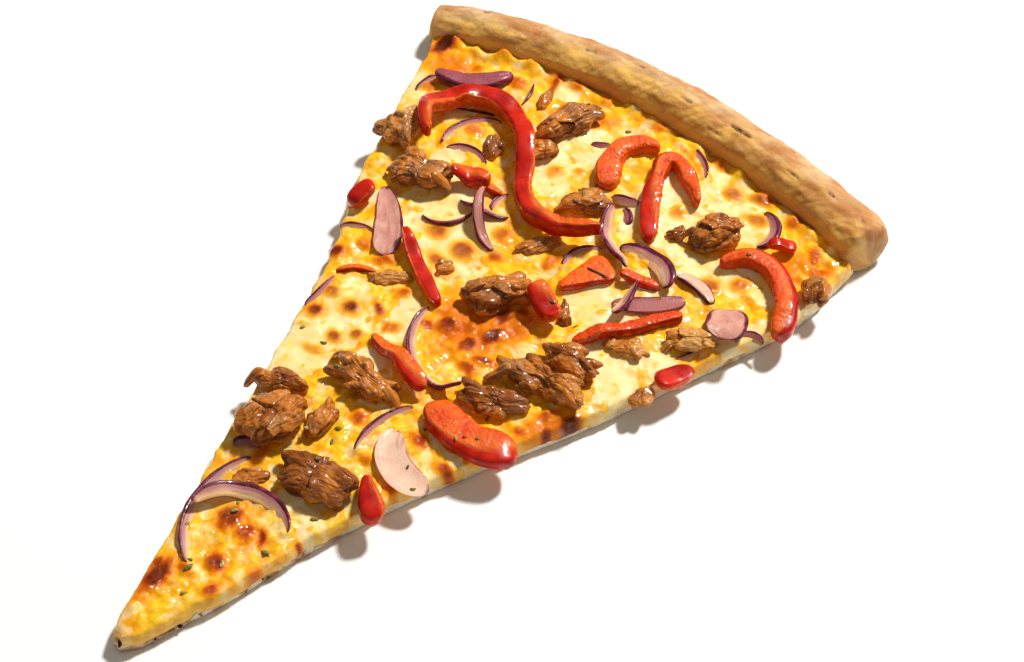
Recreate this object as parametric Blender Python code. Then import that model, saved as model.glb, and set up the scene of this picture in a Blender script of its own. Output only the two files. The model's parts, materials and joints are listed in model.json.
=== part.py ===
# Cheddar pizza slice, the solids
# One wedge of a large pizza: dough with a raised crust, a layer of melted cheese, and the
# peppers, red onions and pieces of meat that lie on it. It rests flat on its base.
# Lengths in this script are millimetres, and MM turns them into Blender's metres.
# The origin is under the middle of the slice. The tip points to -Y and the crust is at +Y.

import math
import random

import bpy
import bmesh
from mathutils import Matrix, Vector, noise
from mathutils.bvhtree import BVHTree

for thing in list(bpy.data.objects):
    bpy.data.objects.remove(thing)

# Driving sizes
MM = 0.001
TIP = Vector((-1.4, -99.3, 0.0))
CRUST_INNER = 185.0
CRUST_ROUND = 6.4
CRUST_LEFT = 19.0
CRUST_RIGHT = 19.8
DOUGH_THICK = 3.0
CHEESE_LEVEL = 5.6
GAP = 0.3
CHEESE_UNDER = DOUGH_THICK + GAP
CHEESE_END = CRUST_INNER - 0.3
SUNK = 0.6

# Materials, with the base colour, roughness and coat seen in each food
LOOKS = {
    "crust": ((0.63, 0.40, 0.20), 0.62),
    "cheese": ((0.86, 0.60, 0.16), 0.35),
    "pepper": ((0.62, 0.05, 0.02), 0.30),
    "onion": ((0.50, 0.28, 0.32), 0.35),
    "meat": ((0.32, 0.15, 0.06), 0.50),
}


def make_material(kind):
    """A plain material in the food's own colour."""
    colour, roughness = LOOKS[kind]
    material = bpy.data.materials.new(kind)
    material.use_nodes = True
    shader = material.node_tree.nodes["Principled BSDF"]
    shader.inputs["Base Color"].default_value = (*colour, 1.0)
    shader.inputs["Roughness"].default_value = roughness
    shader.inputs["Metallic"].default_value = 0.0
    return material


MATERIALS = {kind: make_material(kind) for kind in LOOKS}


def grid_of(rows):
    """A grid with each vertex moved to its point in the rows."""
    work = bmesh.new()
    tall = len(rows) - 1
    wide = len(rows[0]) - 1
    bmesh.ops.create_grid(work, x_segments=wide, y_segments=tall, size=0.5)
    for vertex in work.verts:
        column = round((vertex.co.x + 0.5) * wide)
        row = round((vertex.co.y + 0.5) * tall)
        vertex.co = rows[row][column]
    return work


def close(work):
    """Welds the points that meet and fills every opening that is left."""
    bmesh.ops.remove_doubles(work, verts=work.verts[:], dist=0.001)
    border = [edge for edge in work.edges if edge.is_boundary]
    if border:
        bmesh.ops.holes_fill(work, edges=border, sides=0)


def make_object(name, kind, work, centre):
    """An object at its centre from a closed mesh in millimetres."""
    bmesh.ops.triangulate(work, faces=work.faces[:])
    bmesh.ops.recalc_face_normals(work, faces=work.faces[:])
    bmesh.ops.translate(work, verts=work.verts[:], vec=-centre)
    bmesh.ops.scale(work, verts=work.verts[:], vec=(MM, MM, MM))
    mesh = bpy.data.meshes.new(name)
    work.to_mesh(mesh)
    work.free()
    mesh.materials.append(MATERIALS[kind])
    thing = bpy.data.objects.new(name, mesh)
    thing.location = centre * MM
    bpy.context.scene.collection.objects.link(thing)
    return thing


def world_points(thing):
    """The object's points in millimetres of the whole slice."""
    return [(thing.location + vertex.co) / MM for vertex in thing.data.vertices]


# The shape of the wedge
def ease(value, low, high):
    """0 below low, 1 above high, and smooth between them."""
    share = min(1.0, max(0.0, (value - low) / (high - low)))
    return share * share * (3.0 - 2.0 * share)


def place(radius, angle, height):
    """A point from its distance to the tip and its angle off the slice's axis."""
    turn = math.radians(angle)
    return TIP + Vector((radius * math.sin(turn), radius * math.cos(turn), height))


def left_cut(radius):
    """Angle of the left cut at a distance from the tip."""
    return -16.1 - 30.0 / max(radius, 6.0) - 1.9 * ease(radius, 100, 140)


def right_cut(radius):
    """Angle of the right cut, which starts blunt at the tip and bulges past the middle."""
    bulge = 2.6 * ease(radius, 55, 120) * (1.0 - ease(radius, 160, 196))
    beside = 2.2 - 1.5 * ease(radius, 24, 46)
    return 19.2 + math.degrees(beside / max(radius, 6.0)) + bulge


def crust_half(angle):
    """Half the crust's thickness, thinner to the left and rounded off at both ends."""
    left = max(0.0, -angle / CRUST_LEFT)
    right = max(0.0, angle / CRUST_RIGHT)
    half = CRUST_ROUND - 1.3 * left ** 2 + 0.3 * right ** 4
    from_end = min(angle + CRUST_LEFT, CRUST_RIGHT - angle)
    open_end = 1.0 - min(1.0, max(0.0, from_end / 1.2))
    return half * (0.78 + 0.22 * math.sqrt(1.0 - open_end ** 2))


def crust_point(angle, turn):
    """A point of the crust's round section, turn degrees up from its outer side."""
    half = crust_half(angle)
    full = crust_half(angle * 0.9)
    uneven = noise.noise(Vector((angle / 3.2, turn / 70.0, 1.7)))
    reach = half * (1.0 + 0.05 * uneven)
    middle = CRUST_INNER + full + 0.4 * noise.noise(Vector((angle / 6.0, 0.4, 5.2)))
    radius = middle + reach * math.cos(math.radians(turn))
    height = half * 0.96 + reach * math.sin(math.radians(turn))
    return place(radius, angle, height)


# Dough: the flat base and the raised crust, one solid
def build_dough():
    """The top runs from the tip over the crust to its foot, and the cuts drop to the base."""
    columns = 22
    base_steps = 15
    turns = (192, 166, 140, 114, 88, 62, 36, 10, -18, -42)
    shares = [0.5 - 0.5 * math.cos(math.pi * j / columns) for j in range(columns + 1)]
    rows = []
    for k in range(base_steps + 1):
        radius = 1.5 + (CRUST_INNER + 0.8 - 1.5) * k / base_steps
        row = []
        for share in shares:
            angle = left_cut(radius) * (1 - share) + right_cut(radius) * share
            row.append(place(radius, angle, DOUGH_THICK))
        rows.append(row)
    angles = [-CRUST_LEFT * (1 - share) + CRUST_RIGHT * share for share in shares]
    for turn in turns:
        rows.append([crust_point(angle, turn) for angle in angles])
    rows.append([place(CRUST_INNER + 1.45 * crust_half(angle), angle, 0.0) for angle in angles])
    work = grid_of(rows)

    # The edges of the flat base drop to the ground, all but those under the crust.
    rim = []
    for edge in work.edges:
        flat = all(abs(vertex.co.z - DOUGH_THICK) < 0.001 for vertex in edge.verts)
        if edge.is_boundary and flat:
            rim.append(edge)
    wall = bmesh.ops.extrude_edge_only(work, edges=rim)["geom"]
    for vertex in [part for part in wall if isinstance(part, bmesh.types.BMVert)]:
        vertex.co.z = 0.0

    # An edge on the ground under each end of the crust parts its end face from the base.
    for side in (0, -1):
        inner = Vector((rows[base_steps][side].x, rows[base_steps][side].y, 0.0))
        outer = rows[-1][side]
        ends = [min(work.verts, key=lambda vertex: (vertex.co - spot).length)
                for spot in (inner, outer)]
        bmesh.ops.contextual_create(work, geom=ends)
    close(work)
    return make_object("dough", "crust", work, Vector((0.0, 0.0, 0.0)))


# Cheese: one layer over the base, uneven on top, running out to both cuts
def cheese_height(x, y):
    """Height of the melted surface away from its edge."""
    slow = noise.noise(Vector((x / 17.0, y / 17.0, 3.1)))
    quick = noise.noise(Vector((x / 7.0, y / 7.0, 8.4)))
    return CHEESE_LEVEL + 0.5 * slow + 0.45 * quick


def cheese_spot(along, share, inset):
    """A point of the layer: along from tip to crust and share from the left to the right cut.

    The inset is how far the layer's outline is drawn in from both cuts."""
    first = 2.4 + 2.5 * max(0.0, inset)
    radius = first + (CHEESE_END - 0.3 * inset - first) * along
    wave = 0.9 * noise.noise(Vector((radius / 8.0, 4.0, 6.0))) + 0.1
    left = left_cut(radius) + math.degrees((inset - wave) / radius)
    wave = 0.7 * noise.noise(Vector((radius / 7.0, 0.0, 2.0))) - 0.2
    right = right_cut(radius) - math.degrees((inset - wave) / radius)
    return place(radius, left * (1 - share) + right * share, 0.0)


def build_cheese():
    """A grid whose two outer rounds roll over the edge and down to the underside."""
    across = 27
    lengthwise = 40
    rolls = ((0.3, 0.0), (-0.3, 0.45), (0.9, 0.9))
    rows = []
    for i in range(lengthwise + 1):
        row = []
        for j in range(across + 1):
            roll = min(i, j, lengthwise - i, across - j, 2)
            inset, rise = rolls[roll]
            along = (i - roll) / (lengthwise - 2 * roll)
            share = (j - roll) / (across - 2 * roll)
            spot = cheese_spot(along, share, inset)
            surface = cheese_height(spot.x, spot.y)
            if min(i, j, lengthwise - i, across - j) < 3:
                spot.z = CHEESE_UNDER + (surface - 0.5 - CHEESE_UNDER) * rise
            else:
                spot.z = surface
            row.append(spot)
        rows.append(row)
    work = grid_of(rows)
    close(work)
    return make_object("cheese", "cheese", work, Vector((0.0, 0.0, 0.0)))


# The pile: everything laid so far, so that the next piece can rest on it
class Pile:
    def __init__(self):
        self.points = []
        self.faces = []
        self.tree = None

    def add(self, thing):
        start = len(self.points)
        self.points += world_points(thing)
        for face in thing.data.polygons:
            self.faces.append([start + index for index in face.vertices])
        self.tree = BVHTree.FromPolygons(self.points, self.faces)

    def height(self, x, y, reach):
        """The highest surface within reach of a point, or None beside the slice."""
        best = None
        for k in range(7):
            turn = math.tau * k / 6
            span = reach if k < 6 else 0.0
            above = Vector((x + span * math.cos(turn), y + span * math.sin(turn), 60.0))
            hit = self.tree.ray_cast(above, Vector((0.0, 0.0, -1.0)))[0]
            if hit is not None and (best is None or hit.z > best):
                best = hit.z
        return best

    def touches(self, thing):
        points = world_points(thing)
        faces = [list(face.vertices) for face in thing.data.polygons]
        return bool(self.tree.overlap(BVHTree.FromPolygons(points, faces)))


PILE = Pile()


def raise_clear(thing):
    """Lifts a piece until it clears the pile, then by half the usual gap more."""
    for _ in range(60):
        if not PILE.touches(thing):
            break
        thing.location.z += 0.15 * MM
    thing.location.z += GAP / 2 * MM


# Strips: peppers and onions, swept along a route of arcs
def walk(start, heading, arcs, steps):
    """Evenly spaced points and headings along arcs of (length, turn in degrees)."""
    total = sum(length for length, _ in arcs)
    x, y = start
    angle = math.radians(heading)
    stations = [(x, y, angle)]
    fine = 12
    for i in range(steps * fine):
        travelled = total * (i + 0.5) / (steps * fine)
        for length, turn in arcs:
            if travelled <= length:
                break
            travelled -= length
        stride = total / (steps * fine)
        bend = math.radians(turn) * stride / length
        x += stride * math.cos(angle + bend / 2)
        y += stride * math.sin(angle + bend / 2)
        angle += bend
        if (i + 1) % fine == 0:
            stations.append((x, y, angle))
    return stations


# Sections as (across, up) shares of the width and height
SECTIONS = {
    "pepper": ((-0.5, 0.25), (-0.34, 0), (0.34, 0), (0.5, 0.25), (0.5, 0.75), (0.3, 1), (-0.3, 1),
               (-0.5, 0.75)),
    "onion": ((-0.5, 0.45), (-0.3, 0), (0.3, 0), (0.5, 0.45), (0.22, 1), (-0.22, 1)),
    "petal": ((-0.5, 0.5), (-0.28, 0.12), (0.28, 0.12), (0.5, 0.5), (0.5, 1), (0.26, 0.62),
              (-0.26, 0.62), (-0.5, 1)),
}


def taper(share, blunt):
    """Share of the full width along a strip; a high blunt keeps it wide up to the ends."""
    return max(0.3, math.sqrt(1.0 - abs(2.0 * share - 1.0) ** blunt))


def build_strip(name, kind, section, route, size, sunk):
    """A strip on the pile, or one sunk into the cheese for joining to it."""
    start, heading, arcs = route
    width_start, width_end, height, blunt = size
    length = sum(part for part, _ in arcs)
    steps = max(5, min(17, round(length / 2.7)))
    stations = walk(start, heading, arcs, steps)
    widths = []
    for i in range(steps + 1):
        share = i / steps
        width = width_start + (width_end - width_start) * share
        widths.append(width * taper(share, blunt))
    support = []
    for (x, y, angle), width in zip(stations, widths):
        best = None
        for across in (-0.5, -0.25, 0.0, 0.25, 0.5):
            for along in (-1.0, 0.0, 1.0):
                px = x - math.sin(angle) * across * width + math.cos(angle) * along
                py = y + math.cos(angle) * across * width + math.sin(angle) * along
                found = PILE.height(px, py, 0.4)
                if found is not None and (best is None or found > best):
                    best = found
        support.append(best)
    known = [value for value in support if value is not None]
    support = [sum(known) / len(known) if value is None else value for value in support]
    rest = []
    for i in range(steps + 1):
        near = support[max(0, i - 1):i + 2]
        rest.append(0.5 * max(near) + 0.5 * max(support[i], sum(near) / len(near)))
    rings = []
    for i, (x, y, angle) in enumerate(stations):
        share = i / steps
        tall = height * (0.55 + 0.45 * taper(share, max(blunt, 3)))
        base = rest[i] + GAP if not sunk else cheese_height(x, y) - SUNK
        ring = []
        for across, up in SECTIONS[section]:
            px = x - math.sin(angle) * across * widths[i]
            py = y + math.cos(angle) * across * widths[i]
            ring.append(Vector((px, py, base + up * tall)))
        rings.append(ring + ring[:1])
    work = grid_of(rings)
    close(work)
    x, y, _ = stations[steps // 2]
    thing = make_object(name, kind, work, Vector((x, y, rest[steps // 2])))
    if not sunk:
        raise_clear(thing)
    PILE.add(thing)
    return thing


# Chunks: meat, a star-shaped outline round a few overlapping lumps
def make_lumps(length, width, height, count, seed):
    """The chunk's core and its lumps, as centre, radii and turn."""
    draw = random.Random(seed)
    lumps = [(Vector((0, 0, 0.4 * height)), (0.42 * length, 0.42 * width, 0.46 * height), 0.0)]
    for i in range(count):
        around = math.tau * (i + draw.uniform(-0.3, 0.3)) / count
        out = draw.uniform(0.55, 1.0)
        centre = Vector((0.3 * length * out * math.cos(around),
                         0.3 * width * out * math.sin(around),
                         height * draw.uniform(0.3, 0.62)))
        radii = (length * draw.uniform(0.17, 0.3), width * draw.uniform(0.14, 0.25),
                 height * draw.uniform(0.26, 0.42))
        lumps.append((centre, radii, draw.uniform(-0.7, 0.7)))
    return lumps


def lump_reach(direction, origin, lumps):
    """How far the lumps reach from the origin in one direction."""
    best = 0.0
    for centre, radii, turn in lumps:
        cosine = math.cos(turn)
        sine = math.sin(turn)
        offset = origin - centre
        start = Vector(((cosine * offset.x + sine * offset.y) / radii[0],
                        (cosine * offset.y - sine * offset.x) / radii[1],
                        offset.z / radii[2]))
        ray = Vector(((cosine * direction.x + sine * direction.y) / radii[0],
                      (cosine * direction.y - sine * direction.x) / radii[1],
                      direction.z / radii[2]))
        a = ray.dot(ray)
        b = start.dot(ray)
        c = start.dot(start) - 1.0
        inside = b * b - a * c
        if inside > 0.0:
            best = max(best, (-b + math.sqrt(inside)) / a)
    return best


def build_chunk(name, centre, size, heading, count, seed, sunk):
    """A torn piece of meat on the pile, or one sunk into the cheese."""
    length, width, height = size
    detail = 3 if length * width > 130.0 else 2
    lumps = make_lumps(length, width, height, count, seed)
    origin = Vector((0, 0, 0.4 * height))
    work = bmesh.new()
    bmesh.ops.create_icosphere(work, subdivisions=detail, radius=1.0)
    for vertex in work.verts:
        direction = vertex.co.normalized()
        vertex.co = origin + direction * lump_reach(direction, origin, lumps)
        vertex.co.z = max(0.0, vertex.co.z)
    place_at = Vector((*centre, 0.0))
    bmesh.ops.rotate(work, verts=work.verts[:], cent=(0.0, 0.0, 0.0),
                     matrix=Matrix.Rotation(math.radians(heading), 3, "Z"))
    bmesh.ops.translate(work, verts=work.verts[:], vec=place_at)
    if sunk:
        base = cheese_height(*centre) - SUNK
    else:
        low = [vertex.co for vertex in work.verts if vertex.co.z < 0.3 * height]
        under = [PILE.height(spot.x, spot.y, 0.0) for spot in low]
        base = min(value for value in under if value is not None)
    bmesh.ops.translate(work, verts=work.verts[:], vec=(0.0, 0.0, base))
    thing = make_object(name, "meat", work, place_at + Vector((0.0, 0.0, base)))
    if not sunk:
        raise_clear(thing)
    PILE.add(thing)
    return thing


# Laying the slice: the dough and the cheese, then the toppings from the lowest up
dough = build_dough()
cheese = build_cheese()
PILE.add(dough)
PILE.add(cheese)

# Small pieces that have sunk into the cheese and are joined to it:
# name, section, (start, heading, arcs), (width at start, width at end, height, blunt)
SUNK_STRIPS = (
    ("pepper_scrap", "pepper", ((-18, 44), 9, ((5, -12),)), (2.6, 2.0, 2.4, 3)),
    ("pepper_thread", "pepper", ((-29, 3), 67, ((10, -66),)), (1.8, 1.8, 1.9, 4)),
    ("onion_thread_back", "onion", ((-51, 59), 94, ((7, -27),)), (2.0, 2.0, 1.9, 3)),
    ("onion_thread_hook", "onion", ((-40, 60), 34, ((10, -20),)), (1.6, 1.6, 1.9, 2)),
    ("onion_thread_star", "onion", ((-12, 39), 133, ((7, -83),)), (1.9, 1.9, 1.9, 2)),
    ("onion_thread_left", "onion", ((-37, 14), 48, ((8, -46),)), (1.6, 1.6, 1.9, 3)),
    ("onion_thread_side", "onion", ((-28, 2), -81, ((11, -16),)), (1.7, 1.7, 1.9, 3)),
    ("onion_scrap_front", "onion", ((-14, -48), 74, ((6, -89),)), (3.6, 3.6, 2.2, 3)),
    ("onion_thread_crust", "onion", ((-30, 78), -68, ((8, -17),)), (1.7, 1.7, 1.9, 2)),
    ("onion_scrap_back", "onion", ((-7, 70), 15, ((5, 46),)), (1.9, 1.9, 2.0, 2)),
    ("onion_blob_back", "onion", ((11, 58), -24, ((5, -40),)), (3.0, 3.0, 2.3, 3)),
    ("onion_arc_right", "onion", ((54, 41), 103, ((8, -147),)), (1.7, 1.7, 1.9, 3)),
    ("onion_pale_right", "onion", ((50, 37.5), -91, ((10, -39),)), (2.2, 1.4, 1.9, 3)),
)
for name, section, route, size in SUNK_STRIPS:
    build_strip(name, section, section, route, size, True)

# name, centre, (length, width, height), heading, lumps, seed
SUNK_CHUNKS = (
    ("meat_bit_middle", (19.6, 24.0), (9.0, 3.4, 3.6), 124, 3, 14),
    ("meat_bit_golden", (-9.9, 18.8), (5.2, 4.0, 2.4), 40, 3, 15),
    ("meat_sunk_left", (-17.9, 9.2), (10.5, 4.4, 2.3), 40, 4, 16),
    ("meat_sunk_front", (-5.6, -52.0), (9.4, 5.8, 2.2), 40, 4, 17),
    ("meat_bit_shadow", (-24.8, 55.1), (8.6, 5.4, 3.4), 120, 4, 18),
    ("meat_shred_crust", (-24.1, 75.0), (7.4, 3.0, 2.6), 100, 3, 19),
    ("meat_bit_right", (25.8, 58.4), (5.0, 4.2, 4.0), 60, 3, 20),
)
for name, centre, size, heading, lumps, seed in SUNK_CHUNKS:
    build_chunk(name, centre, size, heading, lumps, seed, True)
sunk_names = [row[0] for row in SUNK_STRIPS + SUNK_CHUNKS]

# Meat: torn pieces, the large ones standing well above the cheese
CHUNKS = (
    ("meat_left_crumbly", (-44.0, 45.0), (13.0, 9.4, 7.5), 100, 7, 1),
    ("meat_left_strips", (-32.0, 37.0), (15.5, 11.0, 6.0), 22, 7, 2),
    ("meat_back_spiky", (-14.2, 71.2), (20.0, 8.0, 5.5), 70, 7, 3),
    ("meat_back_lump", (-14.0, 60.6), (9.5, 7.0, 4.2), 60, 5, 4),
    ("meat_back_sunk", (3.9, 53.4), (13.0, 8.0, 3.6), 40, 6, 5),
    ("meat_right_chunk", (33.4, 62.2), (13.5, 9.5, 6.8), 62, 7, 6),
    ("meat_right_cut", (60.6, 62.4), (8.8, 6.4, 5.5), 100, 6, 7),
    ("meat_middle", (5.0, 18.6), (18.0, 10.0, 6.0), 50, 7, 8),
    ("meat_pale_middle", (3.0, 36.4), (13.5, 5.6, 2.6), 52, 5, 9),
    ("meat_low_lumps", (22.8, -5.6), (19.0, 7.0, 5.0), 24, 7, 10),
    ("meat_wide_slab", (28.2, 4.4), (23.0, 8.4, 6.4), 10, 8, 11),
    ("meat_wide_back", (29.6, 12.4), (15.0, 6.6, 5.2), 0, 6, 27),
    ("meat_front_arch", (-16.8, -29.4), (15.5, 5.4, 5.0), 26, 5, 12),
    ("meat_front_heap", (-10.6, -38.6), (15.0, 13.5, 8.5), 80, 8, 13),
    ("meat_front_strand", (-3.6, -31.6), (12.0, 5.6, 4.6), 102, 5, 21),
    ("meat_front_slab", (-2.6, -18.6), (19.0, 7.6, 5.8), -8, 7, 22),
    ("meat_front_wide", (7.0, -45.0), (18.5, 11.5, 6.4), 18, 8, 23),
    ("meat_golden_left", (37.0, 24.4), (10.0, 6.0, 2.8), 28, 5, 24),
    ("meat_golden_right", (46.2, 33.6), (12.2, 6.4, 3.2), 38, 6, 25),
    ("meat_cut_bit", (46.8, 15.8), (7.8, 5.6, 3.2), 70, 4, 26),
)
for name, centre, size, heading, lumps, seed in CHUNKS:
    build_chunk(name, centre, size, heading, lumps, seed, False)

# Peppers and onions: name, section, (start, heading, arcs), (width at start, width at end,
# height, blunt). Blunt strips are cut across, and the others run out to a point.
STRIPS = (
    ("onion_back_crescent", "onion", ((-50, 65), 6, ((20, 64),)), (5.0, 5.4, 3.2, 2.4)),
    ("onion_hook_arc", "onion", ((-35, 49), 105, ((17, -89),)), (2.2, 2.0, 2.0, 3)),
    ("onion_hook_low", "onion", ((-33, 48), 48, ((12, -83),)), (2.2, 2.4, 2.0, 2.4)),
    ("onion_smile", "onion", ((-24, 28), -7, ((13, 98),)), (2.3, 2.5, 1.8, 2)),
    ("onion_star_long", "onion", ((-20, 37), -16, ((13, 57),)), (2.4, 2.6, 1.8, 2.4)),
    ("onion_star_cross", "onion", ((-16, 41), -77, ((9, 31), (9, 34))), (2.6, 2.8, 1.8, 2.4)),
    ("onion_left_petal", "petal", ((-36.6, 29.4), -37, ((22, -27),)), (4.4, 8.0, 1.6, 3)),
    ("onion_long_middle", "onion", ((-5, 7), -92, ((25, 91), (6, 37))), (2.8, 2.8, 2.4, 5)),
    ("onion_front_arc", "onion", ((10, -17), -122, ((17, 45),)), (2.4, 2.2, 2.0, 2.4)),
    ("onion_front_petal", "petal", ((11, -24), -77, ((20, 98),)), (6.6, 8.0, 1.6, 3)),
    ("onion_tip_long", "onion", ((-8.6, -48.2), -116, ((15, 38), (17, 45))), (3.0, 3.0, 2.2, 2.4)),
    ("onion_tip_arc", "onion", ((-9, -66), 94, ((27, -143),)), (3.4, 3.4, 2.4, 2.4)),
    ("pepper_left_edge", "pepper", ((-38.2, 19.6), 94, ((7, -43),)), (5.0, 4.8, 3.8, 3)),
    ("pepper_half_moon", "pepper", ((-25.2, 40), 60, ((10, -71),)), (5.0, 5.2, 3.0, 2)),
    ("pepper_left_bend", "pepper", ((-23, 20), -33, ((13, 1), (10, 5))), (3.6, 3.6, 3.4, 5)),
    ("pepper_sunk_strip", "pepper", ((-10, -7), -12, ((21, -11),)), (3.2, 5.4, 2.6, 4)),
    ("pepper_wide_front", "pepper", ((13, -13.5), -35, ((24, 70),)), (8.4, 9.6, 3.6, 6)),
    ("pepper_front_wedge", "pepper", ((14.4, -37.6), -50, ((12, 17),)), (3.0, 6.6, 4.2, 4)),
    ("pepper_middle_wedge", "pepper", ((11, 24), -28, ((11, 6),)), (5.6, 4.8, 3.4, 4)),
    ("pepper_flat_middle", "pepper", ((14, 29), 66, ((14, -2),)), (3.0, 9.4, 2.0, 6)),
    ("pepper_sliver", "pepper", ((23, 40), 31, ((10, -35),)), (3.2, 2.8, 2.0, 3)),
    ("onion_flat_middle", "petal", ((26, 33), 20, ((17, 39),)), (4.6, 4.6, 1.4, 3)),
    ("pepper_straight", "pepper", ((26, 18), 54, ((26, 1),)), (3.6, 3.4, 3.0, 8)),
    ("pepper_curl", "pepper", ((8, 77), 176, ((11, 95), (11, 48))), (3.6, 7.6, 3.6, 6)),
    ("onion_dark_back", "onion", ((7, 59), -3, ((7, 45),)), (2.4, 2.2, 2.0, 2.4)),
    ("onion_crust_thread", "onion", ((11, 83), -4, ((12, -53),)), (2.6, 1.8, 2.0, 2.4)),
    ("pepper_arch", "pepper", ((23, 52), 130, ((24, -23), (5, -134), (13, -24))),
     (5.4, 3.4, 4.0, 6)),
    ("onion_petal_right", "petal", ((48, 47), -58, ((11, -12),)), (8.8, 9.8, 1.6, 4)),
    ("onion_almond", "onion", ((33, 48), 20, ((12, -61),)), (3.2, 3.4, 2.0, 2.4)),
    ("onion_fan_arc", "onion", ((11, 35), 102, ((11, -73),)), (2.2, 2.2, 2.0, 2.4)),
    ("onion_upright_fan", "onion", ((28, 40), -81, ((12, 4),)), (1.8, 4.0, 2.4, 3)),
    ("onion_wide_arc", "onion", ((18, 47), 33, ((19, -97),)), (3.4, 5.0, 2.6, 3)),
    ("onion_drop", "onion", ((10, 56), -85, ((16, 68), (5, -31))), (3.4, 3.0, 2.4, 2.4)),
    ("pepper_right_curve", "pepper", ((39.4, 56), 74, ((14, -100), (19, -60))),
     (4.2, 6.4, 4.2, 6)),
    ("onion_right_hook", "onion", ((38, 76), -6, ((12.5, -118),)), (2.6, 4.6, 2.6, 3)),
    ("pepper_stub", "pepper", ((45, 66.4), 44, ((7, -8),)), (3.0, 3.2, 2.6, 4)),
    ("pepper_cut_edge", "pepper", ((48, 19), 76, ((10, -21),)), (6.0, 5.0, 2.8, 3)),
    ("pepper_hook", "pepper", ((-35.5, 45.5), 158, ((11, -66), (25, -128), (19, -24), (29, 104))),
     (5.2, 4.0, 4.6, 8)),
)
for name, section, route, size in STRIPS:
    kind = "pepper" if section == "pepper" else "onion"
    build_strip(name, kind, section, route, size, False)


# Herb flakes: small bent leaves on open cheese, joined to it
def build_flake(index, spot, turn, length):
    """A flake of eight faces, half sunk in the cheese."""
    work = bmesh.new()
    bmesh.ops.create_cone(work, cap_ends=False, segments=4, radius1=1.0, radius2=0.0, depth=1.0)
    below = bmesh.ops.duplicate(work, geom=work.faces[:])["geom"]
    lower = [part for part in below if isinstance(part, bmesh.types.BMVert)]
    bmesh.ops.scale(work, verts=lower, vec=(1.0, 1.0, -1.0),
                    space=Matrix.Translation((0.0, 0.0, 0.5)))
    close(work)
    bmesh.ops.scale(work, verts=work.verts[:], vec=(length / 2, length / 4, 0.55))
    bmesh.ops.rotate(work, verts=work.verts[:], cent=(0.0, 0.0, 0.0),
                     matrix=Matrix.Rotation(turn, 3, "Z"))
    bmesh.ops.translate(work, verts=work.verts[:], vec=spot + Vector((0.0, 0.0, 0.4)))
    return make_object(f"flake_{index:02d}", "cheese", work, spot)


# The flakes that lie on open cheese, most of them towards the tip: x, y, heading, length
FLAKES = (
    (0.8, -31.0, 30, 2.0), (1.7, -34.4, 110, 1.8), (9.3, -64.5, 20, 2.6), (-0.2, -77.0, 80, 2.6),
    (-2.4, -60.6, 60, 2.2), (12.0, -52.0, 40, 2.2), (4.4, -72.0, 110, 2.0), (3.0, -82.0, 50, 1.8),
    (-17.5, -14.5, 25, 1.8), (-2.5, 79.0, 35, 1.8), (-24.0, -14.0, 65, 1.8),
)
flake_names = []
for x, y, heading, length in FLAKES:
    spot = Vector((x, y, PILE.height(x, y, 0.0)))
    flake = build_flake(len(flake_names), spot, math.radians(heading), length)
    flake_names.append(flake.name)


# Joining: the sunk pieces and the flakes become part of the cheese
def join_to_cheese(names):
    group = bpy.data.collections.new("joined")
    bpy.context.scene.collection.children.link(group)
    for name in names:
        group.objects.link(bpy.data.objects[name])
    union = cheese.modifiers.new("union", "BOOLEAN")
    union.operation = "UNION"
    union.operand_type = "COLLECTION"
    union.collection = group
    union.solver = "EXACT"
    joined = bpy.data.meshes.new_from_object(
        cheese.evaluated_get(bpy.context.evaluated_depsgraph_get()))
    cheese.modifiers.remove(union)
    cheese.data = joined
    for name in names:
        bpy.data.objects.remove(bpy.data.objects[name])
    bpy.data.collections.remove(group)


join_to_cheese(sunk_names + flake_names)
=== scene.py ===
# Cheddar pizza slice, the looks
# One wedge of a large pizza lies flat, with its tip towards -Y and its crust at +Y. Each piece
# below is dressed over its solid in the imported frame. Lengths are millimetres and angles are
# degrees, and MM makes metres.

import json
import math
import random

import bmesh
import bpy
import numpy as np
from mathutils import Matrix, Vector, noise
from mathutils.bvhtree import BVHTree

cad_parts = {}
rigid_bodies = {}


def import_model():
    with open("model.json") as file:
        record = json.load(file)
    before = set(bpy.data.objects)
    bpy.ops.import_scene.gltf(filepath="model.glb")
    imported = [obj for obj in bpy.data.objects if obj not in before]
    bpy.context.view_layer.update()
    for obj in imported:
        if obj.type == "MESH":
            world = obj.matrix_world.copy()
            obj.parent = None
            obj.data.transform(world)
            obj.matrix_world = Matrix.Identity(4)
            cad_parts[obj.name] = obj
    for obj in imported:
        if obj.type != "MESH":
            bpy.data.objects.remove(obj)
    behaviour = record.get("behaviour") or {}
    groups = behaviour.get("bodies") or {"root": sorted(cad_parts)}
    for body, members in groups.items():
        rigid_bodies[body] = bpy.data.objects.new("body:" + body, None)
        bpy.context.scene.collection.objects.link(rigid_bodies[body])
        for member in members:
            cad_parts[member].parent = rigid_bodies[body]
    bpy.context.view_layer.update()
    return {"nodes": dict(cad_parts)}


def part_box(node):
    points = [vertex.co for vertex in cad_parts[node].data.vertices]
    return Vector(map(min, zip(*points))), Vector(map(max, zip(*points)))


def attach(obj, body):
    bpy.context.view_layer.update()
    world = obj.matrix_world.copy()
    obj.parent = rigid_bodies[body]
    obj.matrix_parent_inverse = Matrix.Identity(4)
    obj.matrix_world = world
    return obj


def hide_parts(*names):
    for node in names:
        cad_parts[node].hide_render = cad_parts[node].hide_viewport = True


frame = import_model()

MM = 0.001


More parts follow.
